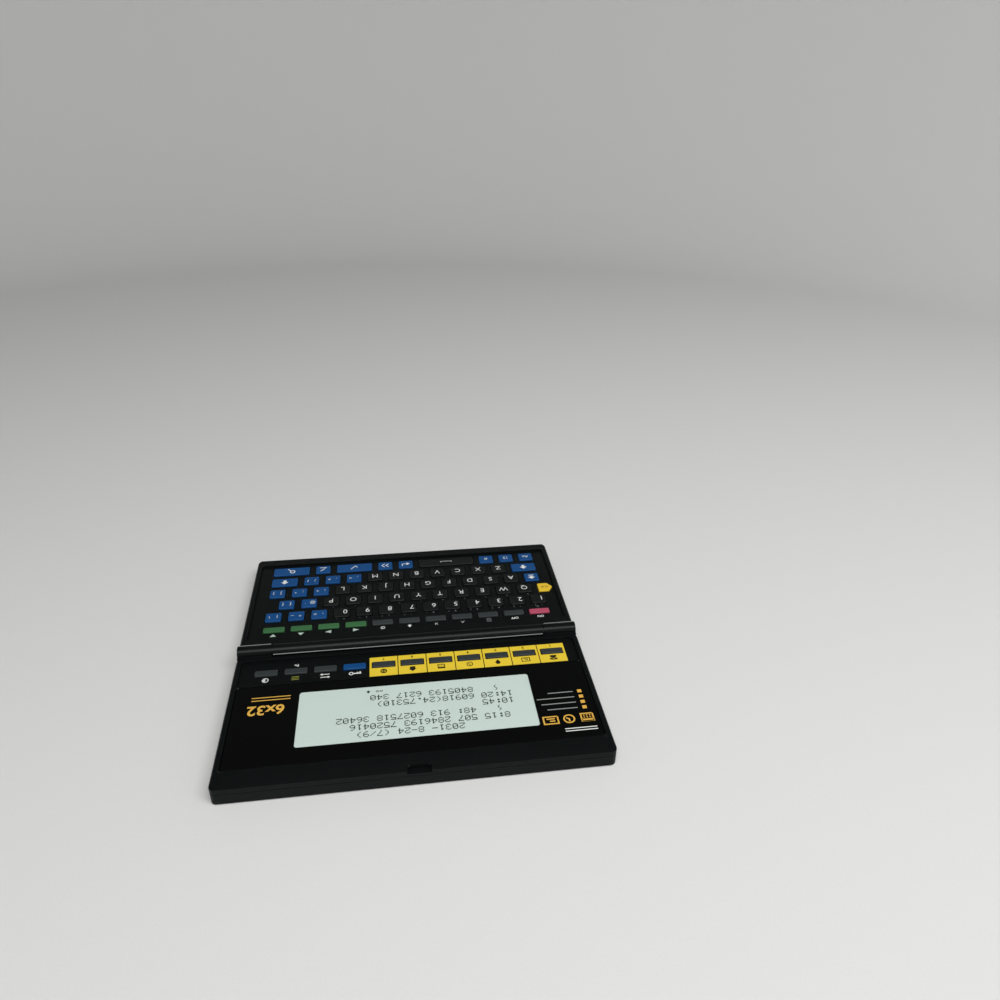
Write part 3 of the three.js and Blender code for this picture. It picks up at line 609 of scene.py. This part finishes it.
# Screw steel is black under its oxide, dark and oily, and brighter where the driver has rubbed it.
screw_steel = mottled("blackened_steel", "#2a2b2d", "#5c5d60", size=0.5, roughness=(0.28, 0.45), Metallic=1)
for body, places in [("base", screw_places[:4]), ("lid", screw_places[4:])]:
    add_piece(f"{body}_screws", [screw(*spot) for spot in places], screw_steel, body)
add_piece("rubber_feet", [foot(*spot) for spot in foot_places], foot_rubber(), "base")
arrow = slab(door_arrow, door_face - door_relief, door_relief + door_root)
add_piece("door_mark", [arrow], polish, "battery_cover")

# Notch lining: a small moulded web under the finger notch, which keeps the lid's inside out of sight. It is
# of the case's own black ABS, and fills the notch's floor.
notch_web_half = 5.6
notch_web_south = 77.2
notch_web_north = 79.6
notch_web = 0.4
notch_floor = 6.79
notch_corner = 0.8

web = rectangle(-notch_web_half, notch_web_half, notch_web_south, notch_web_north)
lining = slab(rounded(web, notch_corner), notch_floor - notch_web, notch_web)
add_piece("notch_lining", [lining], black_abs, "lid")

# Legends: pad printed with matt ink on the caps, and on the bed above the thin keys. Letters and digits are a
# plain grotesque, and everything else is a small sign.
ink_thickness = 0.02
ink_rise = 0.004
letter_height = 3.2
digit_height = 3.3
digit_shift = -1.8
legend_drop = -0.5
sign_height = 2.1
sign_shift = 1.9
mode_height = 2.2
page_height = 2.6
page_shift = 0.3
second_height = 1
second_rise = 4.7
second_left = 1.2
second_right = 2.2
clear_height = 1.3
label_height = 1.5
label_offset = 4.2
label_weight = 0.03
capital_share = 0.694
ink_colours = {
    "white": "#dee1dd", "grey": "#6b7271", "mint": "#b4c6bb", "dark": "#1c1808", "lime": "#8b8f3c",
    "gold": "#dbab4a", "pale_grey": "#8d918e",
}
stroke_share = 0.13
mitre_limit = 0.4
text_weld = 1e-4
icons = {
    "left": [("fill", [(-0.5, 0), (0.4, -0.34), (0.4, 0.34)])],
    "right": [("fill", [(0.5, 0), (-0.4, 0.34), (-0.4, -0.34)])],
    "up": [("fill", [(-0.5, -0.28), (0.5, -0.28), (0, 0.38)])],
    "down": [("fill", [(-0.5, 0.28), (0, -0.38), (0.5, 0.28)])],
    "shift": [("fill", [(-0.55, 0), (0.55, 0), (0, 0.55)]), ("fill", rectangle(-0.22, 0.22, -0.45, 0.01))],
    "caps": [
        ("fill", [(-0.55, 0.05), (0.55, 0.05), (0, 0.6)]),
        ("fill", rectangle(-0.22, 0.22, -0.2, 0.06)),
        ("line", [(-0.4, -0.42), (0.4, -0.42)]),
    ],
    "enter": [
        ("line", [(0.6, 0.5), (0.6, -0.1), (-0.2, -0.1)]),
        ("fill", [(-0.7, -0.1), (-0.15, -0.5), (-0.15, 0.3)]),
    ],
    "space": [("line", [(-1.5, 0.25), (-1.5, -0.25), (1.5, -0.25), (1.5, 0.25)])],
    "next": [
        ("line", [(-0.55, 0.45), (-0.1, 0), (-0.55, -0.45)]),
        ("line", [(0.1, 0.45), (0.55, 0), (0.1, -0.45)]),
    ],
    "set": [("line", [(-0.5, 0), (-0.15, -0.4), (0.55, 0.45)])],
    "edit": [("line", [(-0.3, -0.25), (0.4, 0.45)]), ("line", [(-0.55, -0.5), (0.55, -0.5)])],
    "search": [("ring", (-0.12, 0.12), 0.36), ("line", [(0.15, -0.15), (0.52, -0.52)])],
    "calculator": [
        ("line", loop(-0.4, 0.4, -0.5, 0.5)),
        ("line", [(-0.2, 0.25), (0.2, 0.25)]),
        *[("dot", (x, y), 0.07) for x in (-0.18, 0, 0.18) for y in (-0.3, -0.08)],
    ],
    "insert": [("line", [(-0.45, -0.35), (0, 0.35), (0.45, -0.35)])],
    "delete": [("line", [(-0.4, -0.4), (0.4, 0.4)]), ("line", [(-0.4, 0.4), (0.4, -0.4)])],
    "bell": [
        ("fill", [(-0.5, -0.3), (0.5, -0.3), (0.3, 0), (0.2, 0.45), (-0.2, 0.45), (-0.3, 0)]),
        ("dot", (0, -0.42), 0.12),
    ],
    "clock": [("ring", (0, 0), 0.5), ("line", [(0, 0.3), (0, 0), (0.24, -0.12)])],
    "telephone": [
        ("fill", [(-0.6, 0.15), (-0.25, 0.15), (-0.2, 0.3), (0.2, 0.3), (0.25, 0.15), (0.6, 0.15)]
         + [(0.6, 0.4), (0.35, 0.55), (-0.35, 0.55), (-0.6, 0.4)]),
        ("fill", [(-0.5, -0.5), (0.5, -0.5), (0.5, -0.2), (0.2, 0.18), (-0.2, 0.18), (-0.5, -0.2)]),
    ],
    "card": [
        ("line", loop(-0.6, 0.6, -0.4, 0.4)),
        ("line", [(-0.35, 0.1), (0.1, 0.1)]),
        ("line", [(-0.35, -0.15), (0.35, -0.15)]),
    ],
    "pin": [("fill", [(0, -0.55), (0.42, 0.1), (0.2, 0.5), (-0.2, 0.5), (-0.42, 0.1)])],
    "calendar": [
        ("line", loop(-0.5, 0.5, -0.45, 0.4)),
        ("fill", rectangle(-0.5, 0.5, 0.15, 0.45)),
        *[("dot", (x, y), 0.07) for x in (-0.25, 0, 0.25) for y in (-0.25, -0.02)],
    ],
    "house": [("fill", [(-0.6, 0), (0.6, 0), (0, 0.55)]), ("fill", rectangle(-0.4, 0.4, -0.5, 0.01))],
    "globe": [
        ("ring", (0, 0), 0.5),
        ("line", [(-0.45, 0), (0.45, 0)]),
        ("line", [(0, -0.45), (0, 0.45)]),
        ("line", [(-0.38, 0.25), (0.38, 0.25)]),
        ("line", [(-0.38, -0.25), (0.38, -0.25)]),
    ],
    "key": [
        ("ring", (0.42, 0), 0.3),
        ("fill", rectangle(-0.85, 0.14, -0.08, 0.12)),
        ("fill", rectangle(-0.8, -0.62, -0.3, -0.07)),
        ("fill", rectangle(-0.45, -0.3, -0.22, -0.07)),
    ],
    "exchange": [
        ("fill", [(-0.7, 0.28), (-0.35, 0.05), (-0.35, 0.5)]),
        ("line", [(-0.36, 0.28), (0.6, 0.28)]),
        ("fill", [(0.7, -0.28), (0.35, -0.05), (0.35, -0.5)]),
        ("line", [(0.36, -0.28), (-0.6, -0.28)]),
    ],
    "contrast": [
        ("ring", (0, 0), 0.5),
        ("fill", [(0, -0.45), (0.3, -0.33), (0.45, 0), (0.3, 0.33), (0, 0.45)]),
    ],
    "list": [("line", [(-0.6, y), (0.6, y)]) for y in (-0.35, 0, 0.35)],
}


def matt_ink(colour):
    """Pad-printing ink: a thin matt film, slightly uneven where the pad lifted off."""
    material, shader, place = new_material(f"{colour}_ink", Roughness=0.6, Specular_IOR_Level=0.25)
    full = linear(ink_colours[colour])
    drift(material, shader, place, full, scaled(full, 0.88), size=0.6, detail=2)
    return material


inks = {colour: matt_ink(colour) for colour in ink_colours}


def film(outline, height):
    """A film of ink of any outline."""
    return slab(outline, height, ink_thickness)


def open_film(outer, inner, height):
    """A film of ink with an opening, from two outlines of one count."""
    low, high = height, height + ink_thickness
    rings = [at_height(outer, low), at_height(outer, high), at_height(inner, high), at_height(inner, low)]
    return skin(rings, closed=True)


def stroke(path, width):
    """The outline of a line of even width along a path, with mitred corners."""
    left, right = [], []
    for i, point in enumerate(path):
        here = Vector(point)
        back = (here - Vector(path[i - 1])).normalized() if i else None
        on = (Vector(path[i + 1]) - here).normalized() if i + 1 < len(path) else None
        back, on = back or on, on or back
        across = Vector((-back.y - on.y, back.x + on.x)).normalized()
        reach = width / 2 / max(mitre_limit, across.dot(Vector((-on.y, on.x))))
        left.append(tuple(here + across * reach))
        right.append(tuple(here - across * reach))
    return right + left[::-1]


def icon(name, x, y, height, size):
    """The parts of a sign, size millimetres high."""
    parts = []

    def put(points):
        return [(x + px * size, y + py * size) for px, py in points]

    for kind, shape, *radius in icons[name]:
        if kind == "fill":
            parts.append(film(put(shape), height))
        elif kind == "line":
            parts.append(film(put(stroke(shape, stroke_share)), height))
        elif kind == "dot":
            parts.append(film(put(circle(*shape, radius[0], count=10)), height))
        else:
            inner = put(circle(*shape, radius[0] - stroke_share))
            parts.append(open_film(put(circle(*shape, radius[0])), inner, height))
    return parts


def text(words, x, y, height, size, weight=-0.006):
    """A printed text as one part, centred on x and y, with capitals size millimetres high."""
    curve = bpy.data.curves.new("print", "FONT")
    curve.body = words
    curve.size = size / capital_share
    curve.align_x = "CENTER"
    curve.extrude = ink_thickness / 2
    curve.offset = weight * size
    curve.resolution_u = 3
    obj = bpy.data.objects.new("print", curve)
    mesh = bpy.data.meshes.new_from_object(obj)
    form = bmesh.new()
    form.from_mesh(mesh)
    bmesh.ops.remove_doubles(form, verts=form.verts, dist=text_weld)
    points = [(v.co.x + x, v.co.y + y - size / 2, v.co.z + height + ink_thickness / 2) for v in form.verts]
    faces = [tuple(v.index for v in f.verts) for f in form.faces]
    form.free()
    bpy.data.objects.remove(obj)
    bpy.data.meshes.remove(mesh)
    bpy.data.curves.remove(curve)
    return points, faces


def printed(name, parts, ink, body):
    """One print in one ink, riding on a body."""
    add_piece(name, parts, inks[ink], body)


def centre(plan):
    """The middle of a plan."""
    return (plan[0] + plan[1]) / 2, (plan[2] + plan[3]) / 2


def cap_print(node, marks, ink="white"):
    """Prints a cap's marks: for each cap, a list of signs with their place from the cap's middle and size."""
    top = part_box(node)[1].z / MM + ink_rise
    parts = []
    for plan, signs in zip(cap_plans(node), marks):
        x, y = centre(plan)
        for sign, right, up, size in signs:
            if sign in icons:
                parts += icon(sign, x + right, y + up, top, size)
            else:
                parts.append(text(sign, x + right, y + up, top, size))
    printed(node.replace("_key", "_print"), parts, ink, nodes[node]["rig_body"])


for node, row in [
    ("upper_letter_keys", "QWERTYUIOP"),
    ("middle_letter_keys", "ASDFGHJKL"),
    ("lower_letter_keys", "ZXCVBNM"),
]:
    cap_print(node, [[(letter, 0, legend_drop, letter_height)] for letter in row])
cap_print("digit_keys", [[(digit, digit_shift, legend_drop, digit_height)] for digit in "1234567890"])
symbol_pairs = ["-=", "^~", "|\\", "@`", "[{", ";+", ":*", "]}", ",<", ".>", "/?"]
symbol_marks = [[(a, -sign_shift, 0, sign_height), (b, sign_shift, 0, sign_height)] for a, b in symbol_pairs]
cap_print("symbol_keys", symbol_marks)
cap_print("mode_keys", [[(word, 0, 0, mode_height)] for word in ("Aa", "12", "#")])
for node, sign, size in [
    ("caps_key", "caps", 3.6),
    ("left_shift_key", "shift", 3.6),
    ("right_shift_key", "shift", 3.6),
    ("space_key", "space", 2),
    ("enter_key", "enter", 3.2),
    ("next_key", "next", 3.4),
    ("set_key", "set", 3.4),
    ("edit_key", "edit", 3.4),
    ("search_key", "search", 4),
]:
    cap_print(node, [[(sign, 0, 0, size)]])
cap_print("page_back_key", [[("<<", page_shift, 0, page_height)]], "dark")

bed_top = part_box("power_on_key")[1].z / MM - cap_rise
print_height = bed_top + ink_rise
bed_white, bed_grey, bed_mint = [], [], []
for node, sign, size, parts in [
    ("power_on_key", "ON", label_height, bed_white),
    ("power_off_key", "OFF", label_height, bed_white),
    ("calculator_key", "calculator", 2.4, bed_grey),
    ("insert_key", "insert", 1.7, bed_white),
    ("delete_key", "delete", 1.7, bed_white),
    ("alarm_key", "bell", 2.1, bed_white),
    ("clock_key", "clock", 2.2, bed_white),
    ("cursor_left_key", "left", 3.4, bed_mint),
    ("cursor_right_key", "right", 3.4, bed_mint),
    ("cursor_up_key", "up", 3.1, bed_mint),
    ("cursor_down_key", "down", 3.1, bed_mint),
]:
    x, y = centre(cap_plans(node)[0])
    if sign in icons:
        parts += icon(sign, x, y + label_offset, print_height, size)
    else:
        parts.append(text(sign, x, y + label_offset, print_height, size, label_weight))
x, y = centre(cap_plans("power_on_key")[0])
bed_grey.append(text("C", x, y - label_offset, print_height, clear_height, label_weight))
for node, signs, more in [
    ("digit_keys", "!\"#$%&'()=", "[]{}+-*/~_"),
    ("upper_letter_keys", "<>?*+-/.:;", " " * 10),
]:
    for plan, *pair in zip(cap_plans(node), signs, more):
        x, y = centre(plan)
        for sign, shift in zip(pair, (-second_left, second_right)):
            if sign != " ":
                place = (x + shift, y + second_rise, print_height)
                bed_grey.append(text(sign, *place, second_height, label_weight))
for ink, parts in [("white", bed_white), ("grey", bed_grey), ("mint", bed_mint)]:
    printed(f"bed_print_{ink}", parts, ink, "base")

# Program field: seven yellow cells screen printed on the lid's key strip, one round each program key, with
# the bare black strip as the line between them. Dark signs stand beyond the keys, small digits before them.
yellow_colour = "#e5c735"
cell_width = 12.95
field_south = 9.4
field_north = 22.7
slot_width = 11.1
slot_depth = 4.3
sign_rise = 4.6
sign_size = 3.1
digit_fall = -3.9
digit_size = 1.7
digit_weight = 0.02


def screen_print(name, colour):
    """Screen-printing ink: a thick even film with a slight sheen and a very fine mesh mark."""
    material, shader, place = new_material(name, Roughness=0.42, Specular_IOR_Level=0.35)
    mesh_mark = add_node(material, "TexNoise", {"Scale": per_mm(0.25), "Detail": 1}, {"Vector": place})
    bump = add_node(
        material, "Bump", {"Strength": 0.4, "Distance": 0.003 * MM}, {"Height": mesh_mark.outputs["Fac"]}
    )
    set_link(material, bump.outputs["Normal"], shader, "Normal")
    full = linear(colour)
    drift(material, shader, place, full, scaled(full, 0.9), size=9, detail=2)
    return material


cells, cell_signs = [], []
key_y = centre(cap_plans("telephone_key")[0])[1]
for i, (node, sign) in enumerate(
    zip(program_keys, ["telephone", "card", "pin", "clock", "calendar", "house", "globe"])
):
    x = centre(cap_plans(node)[0])[0]
    cell = rectangle(x - cell_width / 2, x + cell_width / 2, field_south, field_north)
    slot = rectangle(x - slot_width / 2, x + slot_width / 2, key_y - slot_depth / 2, key_y + slot_depth / 2)
    cells.append(open_film(cell, slot, print_height))
    above = print_height + ink_thickness + ink_rise
    cell_signs += icon(sign, x, key_y + sign_rise, above, sign_size)
    cell_signs.append(text(str(i + 1), x, key_y + digit_fall, above, digit_size, digit_weight))
add_piece("program_field", cells, screen_print("yellow_screen_print", yellow_colour), "lid")
printed("program_signs", cell_signs, "dark", "lid")

strip_white, strip_lime = [], []
for node, sign, size, parts in [
    ("secret_key", "key", 3.6, strip_white),
    ("data_key", "exchange", 3.4, strip_white),
    ("display_key", "list", 2.8, strip_lime),
    ("function_key", "contrast", 3, strip_white),
]:
    x, y = centre(cap_plans(node)[0])
    parts += icon(sign, x, y + sign_rise, print_height, size)
x, y = centre(cap_plans("display_key")[0])
strip_white.append(text("Fn", x, y - label_offset, print_height, label_height, label_weight))
printed("strip_print_white", strip_white, "white", "lid")
printed("strip_print_lime", strip_lime, "lime", "lid")

# Window: one sheet of cast acrylic, printed black on its back except for the clear field. From above the
# black is deep and glossy, and the field is modelled as a clear pane set in the black sheet.
window_edge = 0.2
sheet_corner = 1.2
field_corner = 1.3
pane_gap = 0.01
pane_lift = 0.05
pane_sink = 0.005
polariser_drop = 0.2
display_margins = (26.3, 28.1, 5.9, 8.9)


def black_acrylic():
    """Acrylic over black ink: a polished face, with a trace of haze from handling."""
    material, shader, place = new_material("back_printed_acrylic", IOR=1.49, Specular_IOR_Level=0.24)
    shader.inputs["Base Color"].default_value = linear("#020302")
    haze = add_node(material, "TexNoise", {"Scale": per_mm(14), "Detail": 3}, {"Vector": place})
    rough = add_node(
        material,
        "MapRange",
        {"From Min": 0.3, "From Max": 0.8, "To Min": 0.05, "To Max": 0.12},
        {"Value": haze.outputs["Fac"]},
    )
    set_link(material, rough.outputs["Result"], shader, "Roughness")
    return material


def clear_acrylic():
    """Clear acrylic: light goes straight through, and a little of the room is mirrored, more at a slant."""
    material, shader, _ = new_material("clear_acrylic")
    material.node_tree.nodes.remove(shader)
    through = add_node(material, "BsdfTransparent", {"Color": (0.97, 0.98, 0.975, 1)})
    mirror = add_node(material, "BsdfGlossy", {"Roughness": 0.04})
    slant = add_node(material, "LayerWeight", {"Blend": 0.03})
    mixed = add_node(material, "MixShader", {}, {"Fac": slant.outputs["Facing"]})
    material.node_tree.links.new(through.outputs[0], mixed.inputs[1])
    material.node_tree.links.new(mirror.outputs[0], mixed.inputs[2])
    output = material.node_tree.nodes["Material Output"]
    material.node_tree.links.new(mixed.outputs[0], output.inputs["Surface"])
    return material


low, high = [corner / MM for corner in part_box("display_window")]
sheet = rectangle(low.x, high.x, low.y, high.y)
west, east, south, north = display_margins
opening = rectangle(low.x + west, high.x - east, low.y + south, high.y - north)
outer = rounded(sheet, sheet_corner)
outer_top = rounded(drawn_in(sheet, window_edge), sheet_corner - window_edge)
inner = rounded(opening, field_corner)
rings = [
    at_height(outer, low.z),
    at_height(outer, high.z - window_edge),
    at_height(outer_top, high.z),
    at_height(inner, high.z),
    at_height(inner, low.z),
]
sheet_parts = [skin(rings, closed=True)]
window = add_piece("window_sheet", sheet_parts, black_acrylic(), "lid", smooth_angle=20)
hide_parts("display_window")
pane_outline = rounded(drawn_in(opening, pane_gap), field_corner)
polariser_top = high.z - polariser_drop
pane_base = polariser_top + pane_lift
pane = slab(pane_outline, pane_base, high.z - pane_sink - pane_base)
add_piece("window_pane", [pane], clear_acrylic(), "lid", smooth_angle=20)

# Window marks: plain gold and white print beside the display, a bulleted block on one side and the display's
# size in characters on the other.
size_place = (64.2, 39.9)
size_height = 5.6
size_rule = (54.2, 71)
size_rule_heights = (33.4, 31.6)
block_west = -74.4
bullet_size = 1.9
block_lines = [(54.9, 13.5), (51.5, 15.5), (48.1, 17), (44.7, 11.5)]
block_indent = 2.1
block_signs = [("calendar", -73.2), ("clock", -65.2), ("card", -57.2)]
block_sign_rise = 61.2
block_sign_size = 5.2
white_rule = (-76.2, -62.2)
white_rule_heights = (66.6, 68)
line_thickness = 0.5
mark_height = high.z + ink_rise


def rule(west, east, south):
    """A straight printed line on the window."""
    return film(rectangle(west, east, south, south + line_thickness), mark_height)


gold_marks = [text("6x32", *size_place, mark_height, size_height, label_weight)]
gold_marks += [rule(*size_rule, y) for y in size_rule_heights]
grey_marks = []
for y, length in block_lines:
    bullet = rectangle(block_west, block_west + bullet_size, y - bullet_size / 2, y + bullet_size / 2)
    west = block_west + block_indent * bullet_size
    gold_marks.append(film(bullet, mark_height))
    grey_marks.append(rule(west, west + length, y - line_thickness / 2))
for sign, x in block_signs:
    gold_marks += icon(sign, x, block_sign_rise, mark_height, block_sign_size)
white_marks = [rule(*white_rule, y) for y in white_rule_heights]
printed("window_print_gold", gold_marks, "gold", "lid")
printed("window_print_grey", grey_marks, "pale_grey", "lid")
printed("window_print_white", white_marks, "white", "lid")

# Display: a dot-matrix glass of six lines of 32 characters. Each lit dot is a small square of dark liquid
# crystal under the polariser film, which is a pale grey green and faintly silky.
film_colour = "#d3dfda"
dot_colour = "#20282b"
dot_pitch = 0.48
dot_size = 0.46
character_pitch = 2.88
line_pitch = 4.34
text_west = -46.3
top_line = 60.9
status_line = 33.6
status_signs = [("bell", 20.3, 1.8), ("key", 15.6, 2)]
display_lines = [
    (9, "2031- 8-24 (7/9)"),
    (1, " 8:15 507 2846193 7520416"),
    (3, "~   48: 913 6027518 36402"),
    (1, "10:45"),
    (1, "14:20 60918(24.75310)"),
    (3, "~   8405193 6217 340"),
]
dot_rows = {
    "0": "01110 10001 10011 10101 11001 10001 01110",
    "1": "00100 01100 00100 00100 00100 00100 01110",
    "2": "01110 10001 00001 00110 01000 10000 11111",
    "3": "01110 10001 00001 00110 00001 10001 01110",
    "4": "00010 00110 01010 10010 11111 00010 00010",
    "5": "11111 10000 11110 00001 00001 10001 01110",
    "6": "00110 01000 10000 11110 10001 10001 01110",
    "7": "11111 00001 00010 00100 00100 01000 01000",
    "8": "01110 10001 10001 01110 10001 10001 01110",
    "9": "01110 10001 10001 01111 00001 00010 01100",
    "-": "00000 00000 00000 11111 00000 00000 00000",
    ":": "00000 01100 01100 00000 01100 01100 00000",
    ".": "00000 00000 00000 00000 00000 01100 01100",
    "/": "00000 00001 00010 00100 01000 10000 00000",
    "(": "00010 00100 01000 01000 01000 00100 00010",
    ")": "01000 00100 00010 00010 00010 00100 01000",
    "~": "00100 01000 01000 00100 00010 00010 00100",
    " ": "",
}


def polariser_film():
    """Polariser over liquid crystal: satin, pale grey green, with a very faint silky drift."""
    material, shader, place = new_material("polariser_film", Roughness=0.45, Specular_IOR_Level=0.2)
    pale = linear(film_colour)
    drift(material, shader, place, pale, scaled(pale, 0.94), size=18, detail=2)
    return material


def liquid_crystal():
    """A lit dot: dark grey, a little uneven from dot to dot, and matt under the film."""
    material, shader, place = new_material("lit_liquid_crystal", Roughness=0.6, Specular_IOR_Level=0.1)
    dark = linear(dot_colour)
    drift(material, shader, place, dark, scaled(dark, 1.3), size=dot_pitch, detail=0)
    return material


def finish_node(node, material):
    """Gives a CAD node a better material."""
    for spot in nodes[node].material_slots:
        spot.material = material


polariser_face = polariser_film()
finish_node("display_glass", polariser_face)
polariser = slab(pane_outline, low.z, polariser_top - low.z)
add_piece("polariser", [polariser], polariser_face, "lid", smooth_angle=20)
dot_height = polariser_top + ink_rise
dots = []
for line, (column, words) in enumerate(display_lines):
    for place, character in enumerate(words, column):
        for row, bits in enumerate(dot_rows[character].split()):
            for bit, lit in enumerate(bits):
                if lit == "1":
                    x = text_west + place * character_pitch + bit * dot_pitch
                    y = top_line - line * line_pitch - row * dot_pitch
                    square = rectangle(x, x + dot_size, y - dot_size, y)
                    dots.append(film(square, dot_height))
for sign, x, size in status_signs:
    dots += icon(sign, x, status_line, dot_height, size)
add_piece("display_dots", dots, liquid_crystal(), "lid")

# Inside: two circuit boards, the rubber mats, the cells with their contact, the buzzer, the jack, the
# display's carrier, the hinge pin and tube, and the ribbon cable. Their shapes are the solids' own.
package_top = 3.17
trace_pitch = 1.1
trace_block = 9
buzzer_middle = (52, -67.7, 2)
ceramic_radius = 6
cell_edge = 0.06
conductor_pitch = 1
# The wave texture's own period is pi / 10 of its scale.
wave_share = math.pi / 10


def masked_board(name):
    """Glass-epoxy board under green solder mask: glossy, with copper tracks that show paler through the mask,
    and black epoxy packages on its lower face."""
    material, shader, place = new_material(name, Roughness=0.35, Specular_IOR_Level=0.4)
    cells = add_node(
        material, "TexVoronoi", {"Scale": per_mm(trace_block)}, {"Vector": place}, distance="CHEBYCHEV"
    )
    turned = add_node(material, "SeparateColor", {}, {"Color": cells.outputs["Color"]})
    way = add_node(material, "Math", {1: 0.5}, {0: turned.outputs["Red"]}, operation="GREATER_THAN")
    scale = {"Scale": per_mm(trace_pitch) * wave_share}
    waves = [add_node(material, "TexWave", scale, {"Vector": place}, bands_direction=axis) for axis in "XY"]
    across, along = [wave.outputs["Fac"] for wave in waves]
    tracks = add_node(material, "Mix", {}, {"Factor": way.outputs[0], "A": across, "B": along})
    edge = add_node(
        material, "MapRange", {"From Min": 0.62, "From Max": 0.72}, {"Value": tracks.outputs["Result"]}
    )
    mask = add_node(
        material,
        "Mix",
        {"A": linear("#0c3a20"), "B": linear("#2b6a3c")},
        {"Factor": edge.outputs["Result"]},
        data_type="RGBA",
    )
    height = add_node(material, "SeparateXYZ", {}, {"Vector": place})
    above = add_node(
        material, "Math", {1: package_top * MM}, {0: height.outputs["Z"]}, operation="GREATER_THAN"
    )
    shade = add_node(
        material,
        "Mix",
        {"A": linear("#121212")},
        {"Factor": above.outputs[0], "B": mask.outputs["Result"]},
        data_type="RGBA",
    )
    set_link(material, shade.outputs["Result"], shader, "Base Color")
    return material


def brass_and_ceramic():
    """Piezo disc: a thin brass plate with a silvered ceramic disc in its middle."""
    material, shader, place = new_material("brass_and_ceramic", Metallic=0.9, Roughness=0.35)
    middle = tuple(value * MM for value in buzzer_middle)
    away = add_node(material, "VectorMath", {1: middle}, {0: place}, operation="DISTANCE")
    outside = add_node(
        material, "Math", {1: ceramic_radius * MM}, {0: away.outputs["Value"]}, operation="GREATER_THAN"
    )
    shade = add_node(
        material,
        "Mix",
        {"A": linear("#c9c8c2"), "B": linear("#c39a45")},
        {"Factor": outside.outputs[0]},
        data_type="RGBA",
    )
    set_link(material, shade.outputs["Result"], shader, "Base Color")
    return material


def flexible_circuit():
    """Polyimide film over copper conductors: clear amber, with a darker line between conductors."""
    material, shader, place = new_material("flexible_circuit", Roughness=0.3, Specular_IOR_Level=0.5)
    scale = {"Scale": per_mm(conductor_pitch) * wave_share}
    wave = add_node(material, "TexWave", scale, {"Vector": place}, bands_direction="X")
    lines = add_node(
        material, "MapRange", {"From Min": 0.25, "From Max": 0.4}, {"Value": wave.outputs["Fac"]}
    )
    shade = add_node(
        material,
        "Mix",
        {"A": linear("#5e3208"), "B": linear("#c07a2a")},
        {"Factor": lines.outputs["Result"]},
        data_type="RGBA",
    )
    set_link(material, shade.outputs["Result"], shader, "Base Color")
    return material


# Nickelled steel is bright and slightly brushed, and silicone is soft, grey and matt with a trace of dust.
# The contact's phosphor bronze is a warm, dull spring metal. The jack's glass-filled PBT is black and matt.
# The carrier's white polycarbonate throws stray light back. Pin and tube are ground stainless steel.
cell_steel = mottled("nickelled_steel", "#a9a9a6", "#c4c4c0", size=0.8, roughness=(0.22, 0.34), Metallic=1)
silicone = mottled(
    "silicone_rubber", "#4b4e4d", "#5a5d5c", size=3, roughness=(0.6, 0.75), Specular_IOR_Level=0.3
)
for name, node in [
    ("left_cell", "left_main_cell"),
    ("right_cell", "right_main_cell"),
    ("spare_cell", "backup_cell"),
]:
    softened(name, node, cell_edge, cell_steel)
bronze = mottled("phosphor_bronze", "#a9794a", "#bf9060", size=1.2, roughness=(0.3, 0.45), Metallic=1)
pbt = mottled("glass_filled_pbt", "#0c0c0d", "#191a1a", size=0.6, roughness=(0.55, 0.7))
polycarbonate = mottled("white_polycarbonate", "#c9cac6", "#d8d9d5", size=6, roughness=(0.4, 0.5))
pin_steel, tube_steel = [
    mottled(name, "#8f9192", "#b4b6b7", size=0.4, roughness=(0.15, 0.3), Metallic=1)
    for name in ("ground_stainless_pin", "ground_stainless_tube")
]
for node, material in [
    ("main_board", masked_board("main_solder_mask")),
    ("lid_board", masked_board("lid_solder_mask")),
    ("base_key_mat", silicone),
    ("lid_key_mat", silicone),
    ("cell_contact", bronze),
    ("buzzer", brass_and_ceramic()),
    ("data_jack", pbt),
    ("display_carrier", polycarbonate),
    ("hinge_pin", pin_steel),
    ("hinge_tube", tube_steel),
    ("base_ribbon", flexible_circuit()),
    ("lid_ribbon", flexible_circuit()),
]:
    finish_node(node, material)
